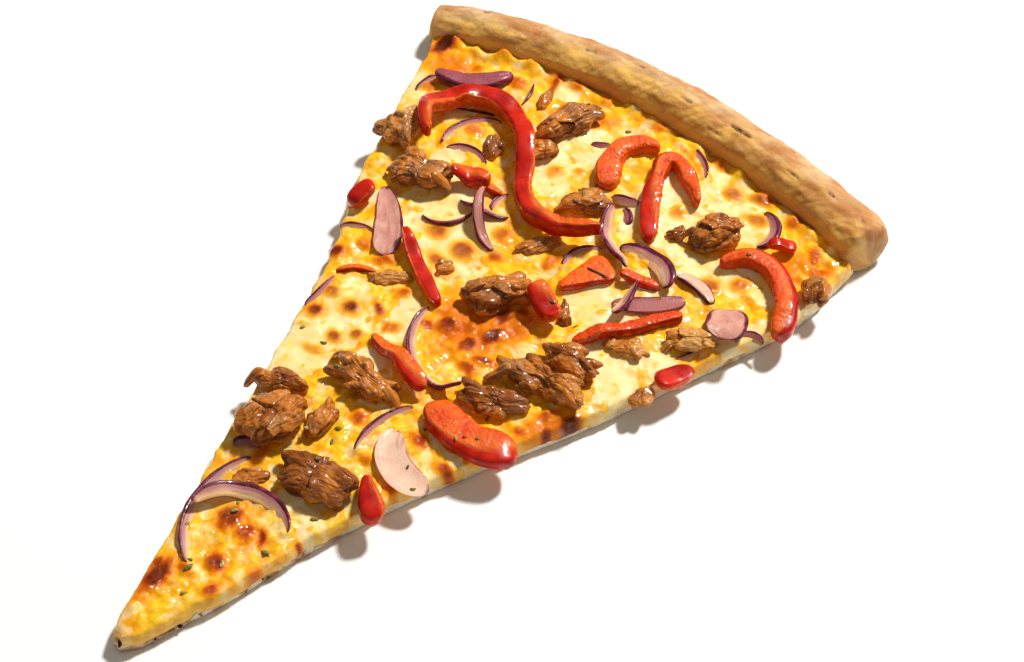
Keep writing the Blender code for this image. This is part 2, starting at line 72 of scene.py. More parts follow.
# Camera
# The photograph was taken from above the right cut with a long lens.
VIEW_TURN = math.radians(37.6)
VIEW_RISE = math.radians(50.0)
VIEW_DISTANCE = 540.3
VIEW_CENTRE = Vector((10.42, 17.04, 0.0))
towards_lens = Vector((math.sin(VIEW_TURN) * math.cos(VIEW_RISE),
                       -math.cos(VIEW_TURN) * math.cos(VIEW_RISE),
                       math.sin(VIEW_RISE)))
lens = bpy.data.cameras.new("photo_view")
lens.lens = 85.0
lens.sensor_width = 36.0
lens.clip_start = 0.01
camera = bpy.data.objects.new("photo_view", lens)
camera.location = (VIEW_CENTRE + towards_lens * VIEW_DISTANCE) * MM
camera.rotation_mode = "QUATERNION"
camera.rotation_quaternion = (-towards_lens).to_track_quat("-Z", "Y")
bpy.context.scene.collection.objects.link(camera)
bpy.context.scene.camera = camera


# Flat base
# The whole slice is cut from one round of yeast dough. Under the cheese it is a thin baked sheet,
# and both cuts show its pale crumb, with small pores and a few scorched specks by the tip.
TIP = Vector((-1.4, -99.3, 0.0))
CRUST_INNER = 185.0
DOUGH_THICK = 3.0
BASE_START = 1.5
BASE_EDGE_ROUND = 0.35
BASE_UNDER_CRUST = 2.5
BASE_ROLL = 7
BASE_ALONG = 330
BASE_ACROSS = 60
CRUMB = (0.82, 0.69, 0.46)
CRUMB_PALE = (0.93, 0.86, 0.69)
CRUMB_BAKED = (0.46, 0.25, 0.09)
SCORCH = (0.085, 0.034, 0.012)


def ease(value, low, high):
    """0 below low, 1 above high, and smooth between them."""
    share = np.clip((np.asarray(value, float) - low) / (high - low), 0.0, 1.0)
    return share * share * (3.0 - 2.0 * share)


def grain(places, size, seed):
    """Smooth noise from about -1 to 1 at each place, with lumps of the size given."""
    flat = np.asarray(places, float).reshape(-1, 3) / size + seed
    values = [noise.noise(spot) for spot in flat.tolist()]
    return np.array(values).reshape(np.shape(places)[:-1])


def triples(first, second, third):
    """Three values side by side as places, each spread to the same rows and columns."""
    return np.stack(np.broadcast_arrays(first, second, third), -1)


def spots(radius, angle, height):
    """Places from their distance to the tip and their angle off the slice's axis."""
    turn = np.radians(angle)
    return triples(TIP.x + radius * np.sin(turn), TIP.y + radius * np.cos(turn), height)


def left_cut(radius):
    """Angle of the left cut at a distance from the tip."""
    return -16.1 - 30.0 / np.maximum(radius, 6.0) - 1.9 * ease(radius, 100, 140)


def right_cut(radius):
    """Angle of the right cut, which starts blunt at the tip and bulges past the middle."""
    bulge = 2.6 * ease(radius, 55, 120) * (1.0 - ease(radius, 160, 196))
    beside = 2.2 - 1.5 * ease(radius, 24, 46)
    return 19.2 + np.degrees(beside / np.maximum(radius, 6.0)) + bulge


def tray(tall, wide, rounds):
    """Shares along and across a sheet, and how far its outer rounds have climbed up its edge."""
    rows = np.arange(tall + 1)[:, None]
    columns = np.arange(wide + 1)[None, :]
    roll = np.minimum(np.minimum(rows, columns), np.minimum(tall - rows, wide - columns))
    roll = np.minimum(roll, rounds)
    return (rows - roll) / (tall - 2 * roll), (columns - roll) / (wide - 2 * roll), roll / rounds


def woven(places, **marks):
    """A grid of vertices moved to their places, rows by columns, with marks painted on it."""
    tall = places.shape[0] - 1
    wide = places.shape[1] - 1
    work = bmesh.new()
    layers = [(work.verts.layers.float.new(name), np.broadcast_to(mark, places.shape[:2]))
              for name, mark in marks.items()]
    bmesh.ops.create_grid(work, x_segments=wide, y_segments=tall, size=0.5)
    for vertex in work.verts:
        column = round((vertex.co.x + 0.5) * wide)
        row = round((vertex.co.y + 0.5) * tall)
        vertex.co = places[row, column]
        for layer, mark in layers:
            vertex[layer] = mark[row, column]
    return work


def close(work):
    """Welds the points that meet and fills every opening that is left."""
    bmesh.ops.remove_doubles(work, verts=work.verts[:], dist=0.0005)
    border = [edge for edge in work.edges if edge.is_boundary]
    if border:
        bmesh.ops.holes_fill(work, edges=border, sides=0)
    bmesh.ops.recalc_face_normals(work, faces=work.faces[:])


def served(name, work, finish, node):
    """The finished mesh as a smooth object in metres, which takes the place of its solid."""
    bmesh.ops.scale(work, verts=work.verts[:], vec=(MM, MM, MM))
    mesh = bpy.data.meshes.new(name)
    work.to_mesh(mesh)
    work.free()
    mesh.shade_smooth()
    mesh.materials.append(finish)
    thing = bpy.data.objects.new(name, mesh)
    bpy.context.scene.collection.objects.link(thing)
    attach(thing, "root")
    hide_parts(node)


class Finish:
    """A material with one Principled shader, and short calls for the nodes that feed it."""

    def __init__(self, name, roughness=0.5, coat=0.0, flesh=0.0, depth=1.0):
        self.material = bpy.data.materials.new(name)
        self.material.use_nodes = True
        self.tree = self.material.node_tree
        self.shader = self.tree.nodes["Principled BSDF"]
        self.shader.inputs["Roughness"].default_value = roughness
        self.shader.inputs["Specular IOR Level"].default_value = 0.18
        self.shader.inputs["Coat Weight"].default_value = coat
        self.shader.inputs["Coat Roughness"].default_value = 0.12
        self.shader.inputs["Subsurface Weight"].default_value = flesh
        self.shader.inputs["Subsurface Radius"].default_value = (1.0, 0.45, 0.2)
        self.shader.inputs["Subsurface Scale"].default_value = depth * MM
        self.place = self.drawn_out()

    def feed(self, source, socket):
        if isinstance(source, bpy.types.NodeSocket):
            self.tree.links.new(source, socket)
        elif isinstance(source, tuple) and len(source) == 3 and socket.type == "RGBA":
            socket.default_value = (*source, 1.0)
        else:
            socket.default_value = source

    def drawn_out(self, *factors):
        """The piece's own coordinates in millimetres, drawn out by a factor along each axis."""
        where = self.tree.nodes.new("ShaderNodeTexCoord")
        mapping = self.tree.nodes.new("ShaderNodeMapping")
        factors = factors or (1.0, 1.0, 1.0)
        mapping.inputs["Scale"].default_value = [1.0 / (MM * factor) for factor in factors]
        self.tree.links.new(where.outputs["Object"], mapping.inputs["Vector"])
        return mapping.outputs["Vector"]

    def mottle(self, size, detail=2.0, rough=0.5, where=None, seed=0.0):
        """Noise from 0 to 1 with lumps of the size in millimetres."""
        node = self.tree.nodes.new("ShaderNodeTexNoise")
        node.noise_dimensions = "4D"
        node.inputs["Scale"].default_value = 1.0 / size
        node.inputs["Detail"].default_value = detail
        node.inputs["Roughness"].default_value = rough
        node.inputs["W"].default_value = seed
        self.feed(where or self.place, node.inputs["Vector"])
        return node.outputs["Fac"]

    def cells(self, size):
        """Distance to the nearest of scattered points, the size in millimetres apart."""
        node = self.tree.nodes.new("ShaderNodeTexVoronoi")
        node.voronoi_dimensions = "4D"
        node.inputs["Scale"].default_value = 1.0 / size
        self.feed(self.place, node.inputs["Vector"])
        return node.outputs["Distance"]

    def mark(self, name):
        node = self.tree.nodes.new("ShaderNodeAttribute")
        node.attribute_name = name
        return node.outputs["Fac"]

    def reckon(self, how, first, second):
        node = self.tree.nodes.new("ShaderNodeMath")
        node.operation = how
        self.feed(first, node.inputs[0])
        self.feed(second, node.inputs[1])
        return node.outputs[0]

    def plus(self, first, second):
        return self.reckon("ADD", first, second)

    def times(self, first, second):
        return self.reckon("MULTIPLY", first, second)

    def swing(self, value, reach):
        """A value about 0.5 turned into one about 0, times the reach."""
        return self.times(self.reckon("SUBTRACT", value, 0.5), reach)

    def between(self, value, low, high, start=0.0, end=1.0):
        """A value spread from low and high to start and end, smoothly and held at both."""
        node = self.tree.nodes.new("ShaderNodeMapRange")
        node.interpolation_type = "SMOOTHSTEP"
        for socket, source in zip(node.inputs[:5], (value, low, high, start, end)):
            self.feed(source, socket)
        return node.outputs["Result"]

    def blend(self, share, first, second, how="MIX"):
        """Two colours mixed by a share."""
        node = self.tree.nodes.new("ShaderNodeMix")
        node.data_type = "RGBA"
        node.blend_type = how
        self.feed(share, node.inputs["Factor"])
        self.feed(first, node.inputs["A"])
        self.feed(second, node.inputs["B"])
        return node.outputs["Result"]

    def group(self, tree, **inputs):
        node = self.tree.nodes.new("ShaderNodeGroup")
        node.node_tree = tree
        for name, source in inputs.items():
            self.feed(source, node.inputs[name])
        return node.outputs

    def wear(self, colour, roughness=None, height=None, relief=0.1, coat=None):
        """Feeds the shader, with the relief in millimetres for a height of 1."""
        self.feed(colour, self.shader.inputs["Base Color"])
        if roughness is not None:
            self.feed(roughness, self.shader.inputs["Roughness"])
        if coat is not None:
            self.feed(coat, self.shader.inputs["Coat Weight"])
        if height is not None:
            bump = self.tree.nodes.new("ShaderNodeBump")
            bump.inputs["Distance"].default_value = relief * MM
            self.feed(height, bump.inputs["Height"])
            self.tree.links.new(bump.outputs["Normal"], self.shader.inputs["Normal"])
        return self.material


def new_group(name, inputs, outputs):
    """A node group with its named inputs and outputs, and its two end nodes."""
    tree = bpy.data.node_groups.new(name, "ShaderNodeTree")
    kinds = {"colour": "NodeSocketColor", "value": "NodeSocketFloat", "place": "NodeSocketVector"}
    for label, kind in inputs.items():
        tree.interface.new_socket(label, in_out="INPUT", socket_type=kinds[kind])
    for label, kind in outputs.items():
        tree.interface.new_socket(label, in_out="OUTPUT", socket_type=kinds[kind])
    start = tree.nodes.new("NodeGroupInput")
    end = tree.nodes.new("NodeGroupOutput")
    return tree, start, end


# Browning turns any baked colour golden, then brown, then nearly black as the amount rises.
BROWNING_STEPS = ((0.0, (1.0, 1.0, 1.0)), (0.20, (0.97, 0.70, 0.16)), (0.42, (0.76, 0.335, 0.032)),
                  (0.68, (0.42, 0.115, 0.018)), (0.86, (0.15, 0.035, 0.010)),
                  (1.0, (0.05, 0.014, 0.008)))
browning, start, end = new_group(
    "browning", {"Colour": "colour", "Amount": "value"}, {"Colour": "colour"})
ramp = browning.nodes.new("ShaderNodeValToRGB")
while len(ramp.color_ramp.elements) < len(BROWNING_STEPS):
    ramp.color_ramp.elements.new(0.5)
for element, (position, colour) in zip(ramp.color_ramp.elements, BROWNING_STEPS):
    element.position = position
    element.color = (*colour, 1.0)
tint = browning.nodes.new("ShaderNodeMix")
tint.data_type = "RGBA"
tint.blend_type = "MULTIPLY"
tint.inputs["Factor"].default_value = 1.0
browning.links.new(start.outputs["Amount"], ramp.inputs["Fac"])
browning.links.new(start.outputs["Colour"], tint.inputs["A"])
browning.links.new(ramp.outputs["Color"], tint.inputs["B"])
browning.links.new(tint.outputs["Result"], end.inputs["Colour"])

# The underside is one flat face; outer rounds of the grid climb the cut and roll onto the top.
along, share, climb = tray(BASE_ALONG, BASE_ACROSS, BASE_ROLL)
inset = BASE_EDGE_ROUND * (2.0 * climb - 1.0) ** 4
length = CRUST_INNER + BASE_UNDER_CRUST - BASE_START
radius = BASE_START + inset + (length - 2 * inset) * along
side = 9.0 * (share > 0.5)
pores = grain(triples(radius, side, 3.0 * climb), 1.3, 4.0)
slack = grain(triples(radius, side, climb), 4.5, 8.0)
inset = inset + 0.22 * np.maximum(pores, 0.0) + 0.16 * slack
left = left_cut(radius) + np.degrees(inset / radius)
right = right_cut(radius) - np.degrees(inset / radius)
bread = spots(radius, left * (1 - share) + right * share, DOUGH_THICK * climb)
work = woven(bread, scorched=1.0 - ease(radius, 30.0, 62.0))
close(work)
look = Finish("baked dough", roughness=0.8, flesh=0.08, depth=0.8)
crumb = look.blend(look.between(look.mottle(1.6, 3.0), 0.35, 0.7), CRUMB, CRUMB_PALE)
baked = look.plus(look.mottle(4.0, 3.0, seed=3.0), look.times(look.mark("scorched"), 0.12))
crumb = look.blend(look.between(baked, 0.54, 0.70), crumb, CRUMB_BAKED)
specks = look.between(look.mottle(1.3, 3.0, seed=7.0), 0.56, 0.66)
crumb = look.blend(look.times(specks, look.mark("scorched")), crumb, SCORCH)
finish = look.wear(crumb, height=look.mottle(0.5, 4.0, 0.6), relief=0.25)
served("dough_base", work, finish, "dough")


# Raised crust
# The rim of the same dough, rolled up by hand and puffed in the oven. It is tan and floury on
# top and golden on its inner side, which is painted lighter as bounce light from the cheese. The foot
# of that side is darker with oil and painted shade, and the ridge is toasted in lengthwise blotches.
CRUST_ROUND = 6.4
CRUST_LEFT = 19.0
CRUST_RIGHT = 19.8
CRUST_ALONG = 340
CRUST_RING = 112
CRUST_FLAT = 0.96
END_DOME = 1.5
END_STEPS = 14
TAN = (0.45, 0.25, 0.108)
FLOUR = (0.63, 0.43, 0.235)
GOLDEN_BOUNCE_LIT = (0.82, 0.49, 0.105)
TOAST = (0.45, 0.17, 0.044)
TOAST_PALE = (0.56, 0.26, 0.080)
FOOT_OIL_AND_SHADE = (0.36, 0.175, 0.032)
SCAR = (0.10, 0.036, 0.012)

# Scars where the skin split and baked dark: angle, turn up from the outer side, length, width, depth
SCARS = (
    (6.9, 98, 5.6, 1.1, 0.75), (2.2, 106, 3.8, 1.2, 0.5), (-2.3, 78, 3.0, 1.2, 0.45),
    (-6.1, 98, 4.0, 1.2, 0.4), (15.6, 92, 3.4, 0.9, 0.45), (18.6, 88, 2.2, 1.2, 0.45),
    (12.4, 112, 4.0, 0.7, 0.5), (-15.0, 70, 3.0, 1.0, 0.5), (5.4, 132, 5.0, 0.8, 0.35),
    (-11.6, 126, 3.6, 0.7, 0.3), (0.2, 60, 2.4, 0.8, 0.4), (10.6, 58, 2.8, 1.0, 0.45),
)


def crust_half(angle):
    """Half the crust's thickness, thinner to the left and rounded off at both ends."""
    left = np.maximum(0.0, -angle / CRUST_LEFT)
    right = np.maximum(0.0, angle / CRUST_RIGHT)
    half = CRUST_ROUND - 1.3 * left ** 2 + 0.3 * right ** 4
    from_end = np.minimum(angle + CRUST_LEFT, CRUST_RIGHT - angle)
    open_end = 1.0 - np.clip(from_end / 1.2, 0.0, 1.0)
    return half * (0.86 + 0.14 * np.sqrt(1.0 - open_end ** 2))


# Each end closes in a flat dome: its last stations creep outwards while the ring shrinks.
dome = math.degrees(END_DOME / (CRUST_INNER + CRUST_ROUND))
run = np.linspace(-CRUST_LEFT + dome, CRUST_RIGHT - dome, CRUST_ALONG - 2 * END_STEPS + 1)
fall = np.linspace(0.0, math.pi / 2, END_STEPS + 1)[1:]
angles = np.concatenate(((run[0] - dome * np.sin(fall))[::-1], run, run[-1] + dome * np.sin(fall)))
shrink = np.concatenate(((np.cos(fall) ** 0.55)[::-1], np.ones(len(run)), np.cos(fall) ** 0.55))
angle = angles[:, None]
ring = np.linspace(-90.0, 270.0, CRUST_RING + 1)[None, :]
turn = np.radians(ring)
uneven = grain(triples(angle / 3.2, ring / 70.0, 1.7), 1.0, 0.0)
middle = grain(triples(angle / 6.0, 0.4, 5.2), 1.0, 0.0)
half = crust_half(angle)
round_off = CRUST_INNER + crust_half(angle * 0.9) + 0.4 * middle
skin = spots(round_off + half * np.cos(turn), angle, half * CRUST_FLAT + half * np.sin(turn))
folds = grain(skin, 9.0, 3.0)
around = triples(angle * 3.3 + ring * 0.02, half * turn, 2.0)
wrinkle = grain(around / np.array((4.5, 1.7, 1.0)), 1.0, 6.0)
leaning = triples(angle * 3.3 + half * turn * 0.9, half * turn * 0.35, 4.0)
slant = grain(leaning / np.array((1.5, 3.0, 1.0)), 1.0, 16.0)
pits = grain(skin, 1.5, 12.0)
knots = grain(skin, 3.6, 27.0)
scar = np.zeros_like(folds)
for where, up, long, thick, deep in SCARS:
    u = np.radians(angle - where) * (CRUST_INNER + CRUST_ROUND)
    v = np.radians(ring - up) * half
    out = np.hypot(u / (0.6 * long), v / (0.6 * thick)) + 0.5 * pits
    scar = np.maximum(scar, deep * (1.0 - ease(out, 0.35, 1.1)))
relief = 0.46 * folds + 0.26 * wrinkle + 0.14 * slant + 0.20 * knots
relief = relief - 0.35 * np.maximum(pits - 0.45, 0.0) - 0.50 * scar
reach = (half * (1.0 + 0.05 * uneven) + relief) * shrink[:, None]
lift = half * CRUST_FLAT * (0.25 + 0.75 * shrink[:, None])
height = np.maximum(0.0, lift + reach * np.sin(turn))
skin = spots(round_off + reach * np.cos(turn), angle, height)
work = woven(skin, outer=0.5 + 0.5 * np.cos(turn), scar=scar, slant=slant,
             over=np.clip(np.sin(turn), 0.0, 1.0))
close(work)
look = Finish("baked crust", roughness=0.62, flesh=0.05, depth=0.8)
lengthwise = look.drawn_out(2.6, 1.0, 1.0)
tan = look.blend(look.between(look.mottle(8.0, 4.0, 0.6, seed=1.0), 0.40, 0.62), TAN, FLOUR)
# The inner side turns golden and lighter than the tan top: its own golden colour with painted bounce
# light from the cheese added.
side = look.plus(look.mark("outer"), look.swing(look.mottle(7.0, 3.0), 0.7))
tan = look.blend(look.between(side, 0.60, 0.20), tan, GOLDEN_BOUNCE_LIT)
# The foot of the inner side, where it meets the cheese, is darkened: partly oil soaked into it and
# partly painted shade in the crease.
oily_shaded_foot = look.times(look.between(side, 0.42, 0.12), look.between(look.mark("over"), 0.50, 0.0))
tan = look.blend(look.times(oily_shaded_foot, 0.75), tan, FOOT_OIL_AND_SHADE)
fields = look.between(look.mottle(13.0, 4.0, 0.6, seed=33.0), 0.46, 0.60, 0.0, 0.55)
tan = look.blend(fields, tan, TOAST_PALE)
ridge = look.between(look.mottle(5.5, 4.0, 0.62, where=lengthwise, seed=5.0), 0.44, 0.60)
ridge = look.times(ridge, look.between(look.mark("over"), 0.25, 0.85))
tan = look.blend(look.times(ridge, 0.85), tan, TOAST)
streaks = look.plus(look.mark("slant"), look.mottle(1.6, 3.0, 0.6, seed=19.0))
tan = look.blend(look.between(streaks, 0.62, 1.05, 0.0, 0.22), tan, FLOUR)
tan = look.blend(look.between(streaks, 0.36, 0.02, 0.0, 0.30), tan, TOAST)
freckles = look.between(look.mottle(0.9, 2.0, seed=9.0), 0.62, 0.72, 0.0, 0.5)
tan = look.blend(freckles, tan, TOAST)
flour = look.between(look.mottle(2.6, 4.0, 0.65, seed=14.0), 0.56, 0.74, 0.0, 0.45)
tan = look.blend(flour, tan, FLOUR)
ragged = look.between(look.mottle(1.3, 4.0, 0.65), 0.30, 0.60, 0.4, 1.2)
cracked = look.times(look.mark("scar"), ragged)
tan = look.blend(look.between(cracked, 0.05, 0.70, 0.0, 0.92), tan, SCAR)
fine = look.plus(look.mottle(1.3, 4.0, 0.55), look.times(look.cells(2.2), 0.35))
finish = look.wear(tan, roughness=look.between(look.mark("outer"), 0.2, 0.8, 0.50, 0.70),
                   height=fine, relief=0.20)
served("crust_rim", work, finish, "dough")


# Melted cheese
# Two cheeses melted into one uneven layer: smooth pale pools, and pebbly yellow cheddar whose
# shreds still show. Blisters have browned on it, and oil has gathered between the lumps.
CHEESE_LEVEL = 5.6
CHEESE_UNDER = DOUGH_THICK + 0.3
CHEESE_END = CRUST_INNER + 0.6
CHEESE_ALONG = 350
CHEESE_ACROSS = 226
CHEESE_ROLL = 12
CREAM = (0.84, 0.62, 0.235)
CREAM_LIGHT = (0.90, 0.75, 0.41)
CHEDDAR = (0.90, 0.49, 0.005)
CHEDDAR_DEEP = (0.84, 0.35, 0.003)
CHEDDAR_LIGHT = (0.94, 0.59, 0.026)
RIND = (0.74, 0.56, 0.26)

# The edge from the underside to the top: its climb, how far in it lies, and its share of the height
EDGE_CLIMB = (0.0, 0.2, 0.45, 0.75, 1.0)
EDGE_INSET = (0.1, -0.45, -0.5, 0.1, 1.7)
EDGE_RISE = (0.0, 0.15, 0.5, 0.88, 1.0)

# Pale pools: x, y, half length, half width, turn, and how pale
POOLS = (
    (-58, 77, 5, 3, 0, 0.8), (-47, 80.5, 6, 2.4, 10, 0.8), (-22, 81, 5, 3.5, 20, 0.7),
    (-7, 66, 6.5, 9, -12, 1.0), (-10, 55, 7, 6, 0, 0.8), (18, 71, 7, 9, -20, 0.95),
    (28, 80, 11, 4.5, -14, 0.8), (35, 71, 8, 6, -10, 0.8), (36, 54, 13, 4.4, -4, 1.0),
    (23, 63, 4, 6, 0, 0.9), (49, 58, 8, 5.5, -24, 1.0), (60, 58, 3.4, 9, -22, 0.95),
    (-38, 61, 3.6, 6, 0, 0.9), (-52, 60, 3.2, 7, 14, 0.75), (-31, 47, 4, 3, 30, 0.9),
    (-21, 33, 13, 9, -22, 1.0), (-14, 24, 12, 6, -24, 1.0), (-10, 31, 7, 7, 0, 0.95),
    (24, 31, 9, 6.5, 10, 1.0), (33, 19, 9, 5.5, -18, 1.0), (41, 14, 8, 5, -52, 1.0),
    (45, 25, 5, 4, 30, 0.9), (30, 43, 6, 4, 0, 0.8), (55, 42, 3, 6, -20, 0.85),
    (-19, -7, 9, 11, 14, 0.66), (-8, 1, 3.4, 8, 22, 0.85), (-21, -20, 7.5, 8, 0, 1.0),
    (-5, -12, 6, 3.4, -10, 0.85), (41, 5, 3, 6, -24, 0.6), (22, -21, 8, 2.2, -24, 0.8),
    (24, -28, 6, 2.4, -36, 0.8), (17, -45, 5, 3, -20, 0.75), (8, -52, 9, 2.6, -8, 0.7),
    (13, -56, 4, 2, -30, 0.65), (-2, -48, 4, 1.8, 0, 0.9), (-6, -61, 3, 5.5, -14, 0.9),
    (-7, -73, 3, 3.4, 0, 0.55), (-23, 3, 5, 3, 0, 0.5), (-36, 26, 2.6, 4, -30, 0.6),
    (13, 58, 3, 5, 20, 0.7), (-26, 18, 3, 4, 0, 0.7), (5, -22, 2, 4, 0, 0.5),
)

# Blisters: x, y, half length, half width, turn, and how dark they baked. The wide ones at the
# start only toast the cheese, and the others have puffed up too.
WIDE_TOAST = 6
BROWN_LIMIT = 0.92
BLISTERS = (
    (5, 8, 8.5, 7.5, 0, 0.32), (12.5, 13, 3.5, 8, -20, 0.30), (-50, 71, 6, 5, 0, 0.26),
    (-14, 76, 7, 2.6, 20, 0.24), (52, 66, 3, 7, -20, 0.24), (36, -2, 3, 7, -24, 0.28),
    (-55.5, 76.5, 5.0, 3.0, 80, 0.86), (-41.5, 82.5, 2.6, 1.5, 60, 0.62),
    (-33, 76, 2.3, 1.7, 20, 0.40), (-28.5, 85.5, 2.4, 1.6, 90, 0.64),
    (-25.5, 81, 5.0, 1.0, 100, 0.60), (-20.5, 83, 1.6, 1.2, 0, 0.32), (-50, 62, 2.3, 1.6, 30, 0.4),
    (28.5, 77.5, 2.6, 2.1, -20, 0.50), (35.5, 79.6, 3.2, 1.5, 12, 0.52),
    (22, 64.6, 1.9, 1.7, 0, 0.38), (40.5, 51, 2.7, 2.2, 0, 0.50), (46, 55, 2.5, 1.9, 40, 0.36),
    (-8.5, 58, 1.7, 1.9, 0, 0.32), (-4, 61.5, 1.4, 1.2, 0, 0.30), (37.5, 73.6, 3.2, 1.7, 14, 0.46),
    (45, 78, 1.9, 1.4, 0, 0.34), (-31, 57, 2.0, 1.5, 0, 0.36), (54.5, 72, 3.4, 1.7, -64, 0.48),
    (47, 70, 1.6, 1.2, 0, 0.34), (58, 69, 3.0, 2.4, 40, 0.44), (-12, 84, 1.8, 1.2, 0, 0.3),
    (3, 84, 1.6, 1.2, 0, 0.28), (21, 83, 2.0, 1.2, -20, 0.32), (-44, 74.6, 1.6, 1.2, 0, 0.34),
    (-18.5, 26.5, 2.7, 2.3, 10, 0.52), (-10, 25.4, 3.4, 2.7, -10, 0.58),
    (-3, 28.5, 1.9, 1.5, 0, 0.38), (-6, 34.6, 2.2, 2.7, 0, 0.46), (-33, 8, 2.3, 2.1, 0, 0.74),
    (-19.3, -3, 2.7, 2.3, 0, 0.74), (-25, -8.3, 2.3, 2.1, 0, 0.70), (-17, -11.6, 2.0, 1.7, 0, 0.58),
    (-13, -8.2, 1.6, 1.4, 0, 0.54), (-12.5, 7.6, 1.7, 1.5, 0, 0.44), (-8.5, -2, 2.1, 1.5, 30, 0.40),
    (-14, 0.4, 2.8, 1.1, -36, 0.70), (-25.5, -2, 1.9, 1.5, 0, 0.48), (-22, 12, 2.6, 1.5, 30, 0.36),
    (1, 6, 3.2, 2.7, 20, 0.66), (8, 4, 2.7, 3.5, 0, 0.70), (9.5, 15.5, 2.7, 3.4, 0, 0.70),
    (11, 9.6, 2.1, 3.8, -20, 0.74), (-2.5, 3, 1.9, 1.5, 0, 0.52), (12, -1, 2.8, 1.7, 0, 0.54),
    (14, 2.6, 3.6, 1.7, 20, 0.66), (5, 9, 1.7, 1.5, 0, 0.46), (12, 19, 2.0, 1.7, 0, 0.54),
    (39, 0.6, 2.5, 3.5, -20, 0.74), (36.5, 5, 1.9, 2.3, 0, 0.52), (34, -1.5, 1.7, 2.6, 0, 0.46),
    (36.6, -5, 2.6, 1.6, -58, 0.70), (-12, 19.6, 3.8, 1.7, -10, 0.50), (8, 35, 1.6, 2.7, 0, 0.40),
    (-29, 13.4, 1.7, 1.4, 0, 0.26), (32, -8, 1.9, 1.5, 0, 0.44), (17, 24, 1.4, 1.2, 0, 0.4),
    (16.5, -22.7, 2.1, 1.7, -20, 0.58), (25, -25.4, 3.1, 1.6, -6, 0.60), (2.2, -26, 2.0, 1.8, 0, 0.52),
    (-18.5, -17.3, 2.4, 1.1, 10, 0.26), (-2.0, -62.3, 3.6, 3.8, 10, 0.66),
    (2.7, -63.2, 2.4, 2.8, 14, 0.52), (2.8, -72.4, 2.9, 2.4, 0, 0.66),
    (6.4, -62, 2.8, 1.1, -52, 0.70), (-4.2, -82.5, 3.0, 5.6, 5, 0.74), (-6.2, -79.6, 1.6, 1.5, 0, 0.62),
    (6.8, -78, 1.5, 1.9, -20, 0.60), (13.5, -58.8, 0.9, 0.7, 0, 0.66), (11, -69.5, 1.4, 1.8, 0, 0.34),
    (6.6, -92.5, 0.9, 3.4, -22, 0.84), (-1, -77.6, 2.4, 1.2, 0, 0.36), (9.5, -82, 1.0, 2.0, -20, 0.5),
    (10.5, -33.5, 1.6, 1.0, 20, 0.3), (19.6, -36.5, 1.8, 1.2, -30, 0.34), (-8, -46.5, 1.4, 2.4, 0, 0.4),
)


def cheese_height(x, y):
    """Height of the melted surface away from its edge."""
    slow = grain(triples(x / 17.0, y / 17.0, 3.1), 1.0, 0.0)
    quick = grain(triples(x / 7.0, y / 7.0, 8.4), 1.0, 0.0)
    return CHEESE_LEVEL + 0.5 * slow + 0.45 * quick


def within(x, y, patch):
    """How far out a place is in an oval patch: 0 at its middle and 1 on its outline."""
    turn = math.radians(patch[4])
    u = (x - patch[0]) * math.cos(turn) + (y - patch[1]) * math.sin(turn)
    v = (y - patch[1]) * math.cos(turn) - (x - patch[0]) * math.sin(turn)
    return np.hypot(u / patch[2], v / patch[3])


def edge_wave(radius, side):
    """How far the melted edge runs past each cut, as in the solid."""
    if side == "left":
        return 0.9 * grain(triples(radius / 8.0, 4.0, 6.0), 1.0, 0.0) + 0.1
    return 0.7 * grain(triples(radius / 7.0, 0.0, 2.0), 1.0, 0.0) - 0.2


# A ray sent down from this height meets the uppermost piece first.
ABOVE = 60.0
UP = Vector((0.0, 0.0, 1.0))


def surface_of(things):
    """The surfaces of some objects as one search tree, in millimetres."""
    corners = []
    sides = []
    for thing in things:
        first = len(corners)
        corners += [corner.co / MM for corner in thing.data.vertices]
        sides += [[first + index for index in face.vertices] for face in thing.data.polygons]
    return BVHTree.FromPolygons(corners, sides)


def pebbles(places, size, seed):
    """How near each place is to the middle of its pebble: 1 at the middle, and 0 far from it."""
    cells = (places.reshape(-1, 3) / size + seed).tolist()
    gaps = np.array([noise.voronoi(cell)[0][0] for cell in cells])
    return np.clip(1.0 - gaps.reshape(places.shape[:-1]), 0.0, 1.0)


# From the underside outwards, the edge bulges half a millimetre past the cut and rolls onto the top.
along, share, climb = tray(CHEESE_ALONG, CHEESE_ACROSS, CHEESE_ROLL)
inset = np.interp(climb, EDGE_CLIMB, EDGE_INSET)
rise = np.interp(climb, EDGE_CLIMB, EDGE_RISE)
first = 2.4 + 2.5 * np.maximum(0.0, inset)
radius = first + (CHEESE_END - 0.3 * inset - first) * along
side = 7.0 * (share > 0.5)
frill = 0.25 * grain(triples(radius, side, 2.0 * climb), 1.6, 5.0)
bulge = 0.75 * grain(triples(radius / 5.5, 2.0, 13.0), 1.0, 0.0)
past_left = inset - edge_wave(radius, "left") + frill - bulge
past_right = inset - edge_wave(radius, "right") + frill
left = left_cut(radius) + np.degrees(past_left / radius)
right = right_cut(radius) - np.degrees(past_right / radius)
melt = spots(radius, left * (1 - share) + right * share, 0.0)
x = melt[..., 0]
y = melt[..., 1]
flat = triples(x, y, 0.0)

